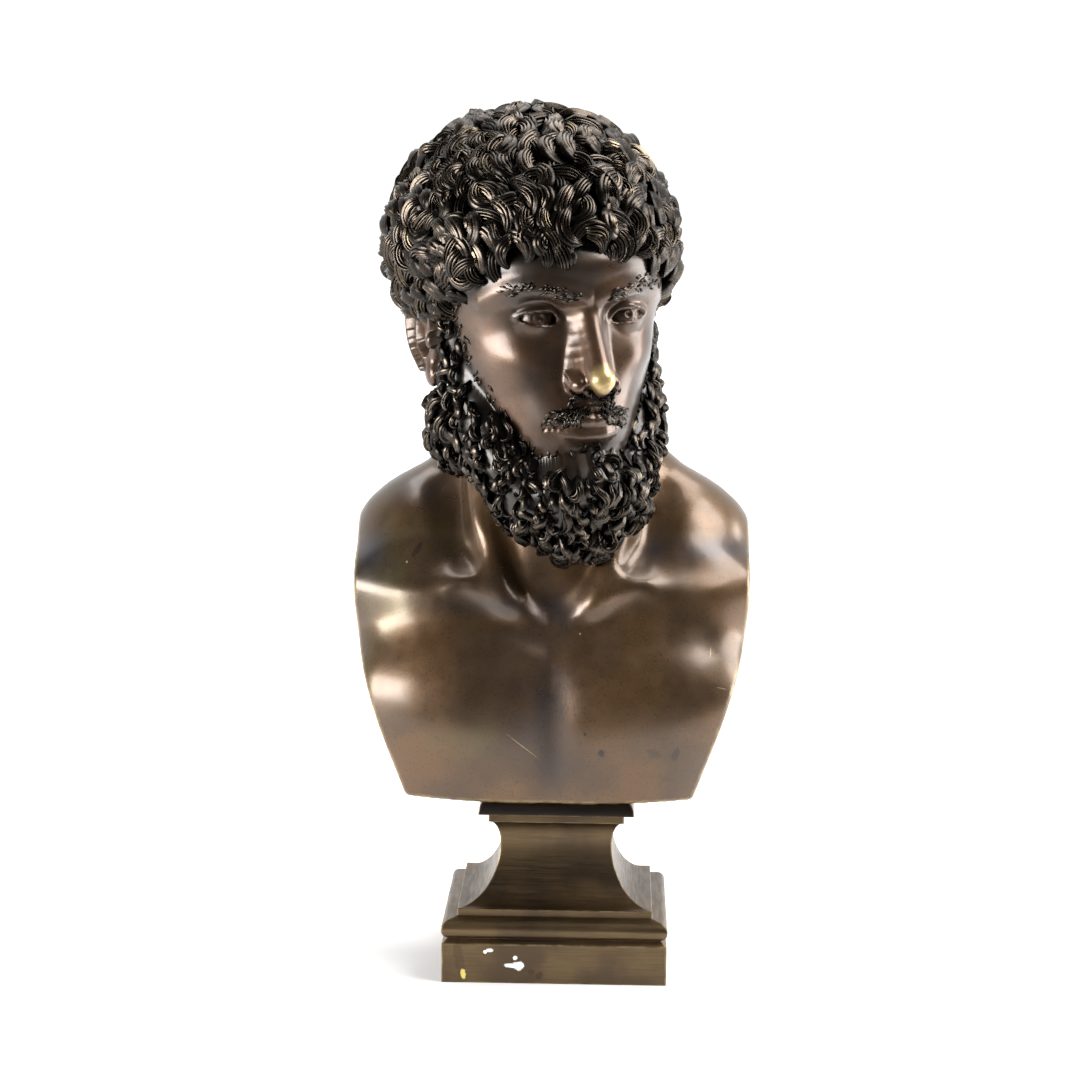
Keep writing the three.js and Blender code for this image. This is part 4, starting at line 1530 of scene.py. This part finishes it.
@dataclass
class Studio:
    """Camera at the photograph's place, lamps, a white floor and white surroundings that darken in front."""

    lamps: Sequence[Lamp] = (
        Lamp("left strip", (-0.95, -0.55, 0.22), 0.75, 0.4, 18.0),
        Lamp("upper right", (0.75, -0.25, 1.0), 0.7, 0.7, 16.0),
        Lamp("right strip", (1.0, 0.15, 0.3), 0.5, 0.6, 8.0),
        Lamp("overhead", (0.0, 0.25, 1.3), 1.2, 0.8, 16.0),
    )
    floor_half: float = 6.0
    floor_white: float = 0.92
    floor_grey: float = 0.12
    front_light: float = 0.06
    back_light: float = 1.1
    focal_length: float = 100.0
    sensor: float = 36.0
    yaw: float = 0.0245
    pitch: float = 0.1323
    roll: float = 0.0109
    distance: float = 1.2171
    shift: tuple[float, float] = (0.0064, -0.1679)

    def build(self) -> None:
        """Adds everything that isn't the object."""
        bpy.context.scene.view_settings.view_transform = "Standard"
        self.floor()
        self.surroundings()
        self.camera()
        for lamp in self.lamps:
            lamp.build()

    def floor(self) -> None:
        """A plain white floor that darkens towards the room in front and glows softly far behind."""
        half = self.floor_half
        mesh = bpy.data.meshes.new("floor")
        corners = [(-half, -half, 0), (half, -half, 0), (half, half, 0), (-half, half, 0)]
        mesh.from_pydata(corners, [], [(0, 1, 2, 3)])
        floor = bpy.data.objects.new("floor", mesh)
        bpy.context.scene.collection.objects.link(floor)
        wiring = Wiring("floor")
        depth = wiring.node("ShaderNodeSeparateXYZ", {0: wiring.place}).outputs["Y"]
        grey, white = (self.floor_grey,) * 3, (self.floor_white,) * 3
        wiring.shade(Base_Color=wiring.mix(wiring.span(depth, -0.34, -0.16), grey, white), Roughness=0.7)
        wiring.shade(Emission_Color=(1.0, 1.0, 1.0, 1.0), Emission_Strength=wiring.span(depth, 0.1, 0.9))
        mesh.materials.append(wiring.material)

    def surroundings(self) -> None:
        """White light from behind and the sides, with the dark of the room in front."""
        world = bpy.data.worlds.new("studio")
        world.use_nodes = True
        nodes, links = world.node_tree.nodes, world.node_tree.links
        direction = nodes.new("ShaderNodeTexCoord").outputs["Generated"]
        ahead = nodes.new("ShaderNodeSeparateXYZ")
        links.new(direction, ahead.inputs[0])
        strength = nodes.new("ShaderNodeMapRange")
        strength.interpolation_type = "SMOOTHSTEP"
        for key, value in (("From Min", -0.15), ("From Max", 0.5), ("To Min", self.front_light),
                           ("To Max", self.back_light)):
            strength.inputs[key].default_value = value
        links.new(ahead.outputs["Y"], strength.inputs["Value"])
        links.new(strength.outputs[0], nodes["Background"].inputs["Strength"])
        nodes["Background"].inputs["Color"].default_value = (1, 1, 1, 1)
        bpy.context.scene.world = world

    def camera(self) -> None:
        """The camera at the photograph's place."""
        yaw, pitch, roll = self.yaw, self.pitch, self.roll
        back = Vector((math.sin(yaw) * math.cos(pitch), -math.cos(yaw) * math.cos(pitch), math.sin(pitch)))
        right = Vector((math.cos(yaw), math.sin(yaw), 0))
        up = back.cross(right)
        right, up = right * math.cos(roll) + up * math.sin(roll), up * math.cos(roll) - right * math.sin(roll)
        place = back * self.distance - right * self.shift[0] - up * self.shift[1]
        data = bpy.data.cameras.new("camera")
        data.lens, data.sensor_width = self.focal_length, self.sensor
        camera = bpy.data.objects.new("camera", data)
        camera.matrix_world = Matrix.Translation(place) @ Matrix((right, up, back)).transposed().to_4x4()
        bpy.context.scene.collection.objects.link(camera)
        bpy.context.scene.camera = camera


def main() -> None:
    """Builds the bust piece by piece over the frame."""
    logging.basicConfig(level=logging.INFO, format="%(name)s %(message)s")
    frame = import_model()
    LOG.info("frame with nodes %s", sorted(frame["nodes"]))
    skin, locks = SkinFinish().material(), LockFinish().material()
    face = face_finish().material()
    head = Head()
    torso = Torso()
    make_piece("chest", torso.build(), skin, BUST_NODE)
    make_piece("face", head.build(), face, BUST_NODE)
    for name, layer in Hair(head).build().items():
        make_piece(name, layer, locks, BUST_NODE)
    make_piece("beard", Beard(head, torso).build(), locks, BUST_NODE)
    make_piece("whiskers", Whiskers(head).build(), locks, BUST_NODE)
    make_piece("plinth_mouldings", Plinth().build(), PlinthFinish().material(), PLINTH_NODE)
    Studio().build()


if __name__ == "__main__":
    main()
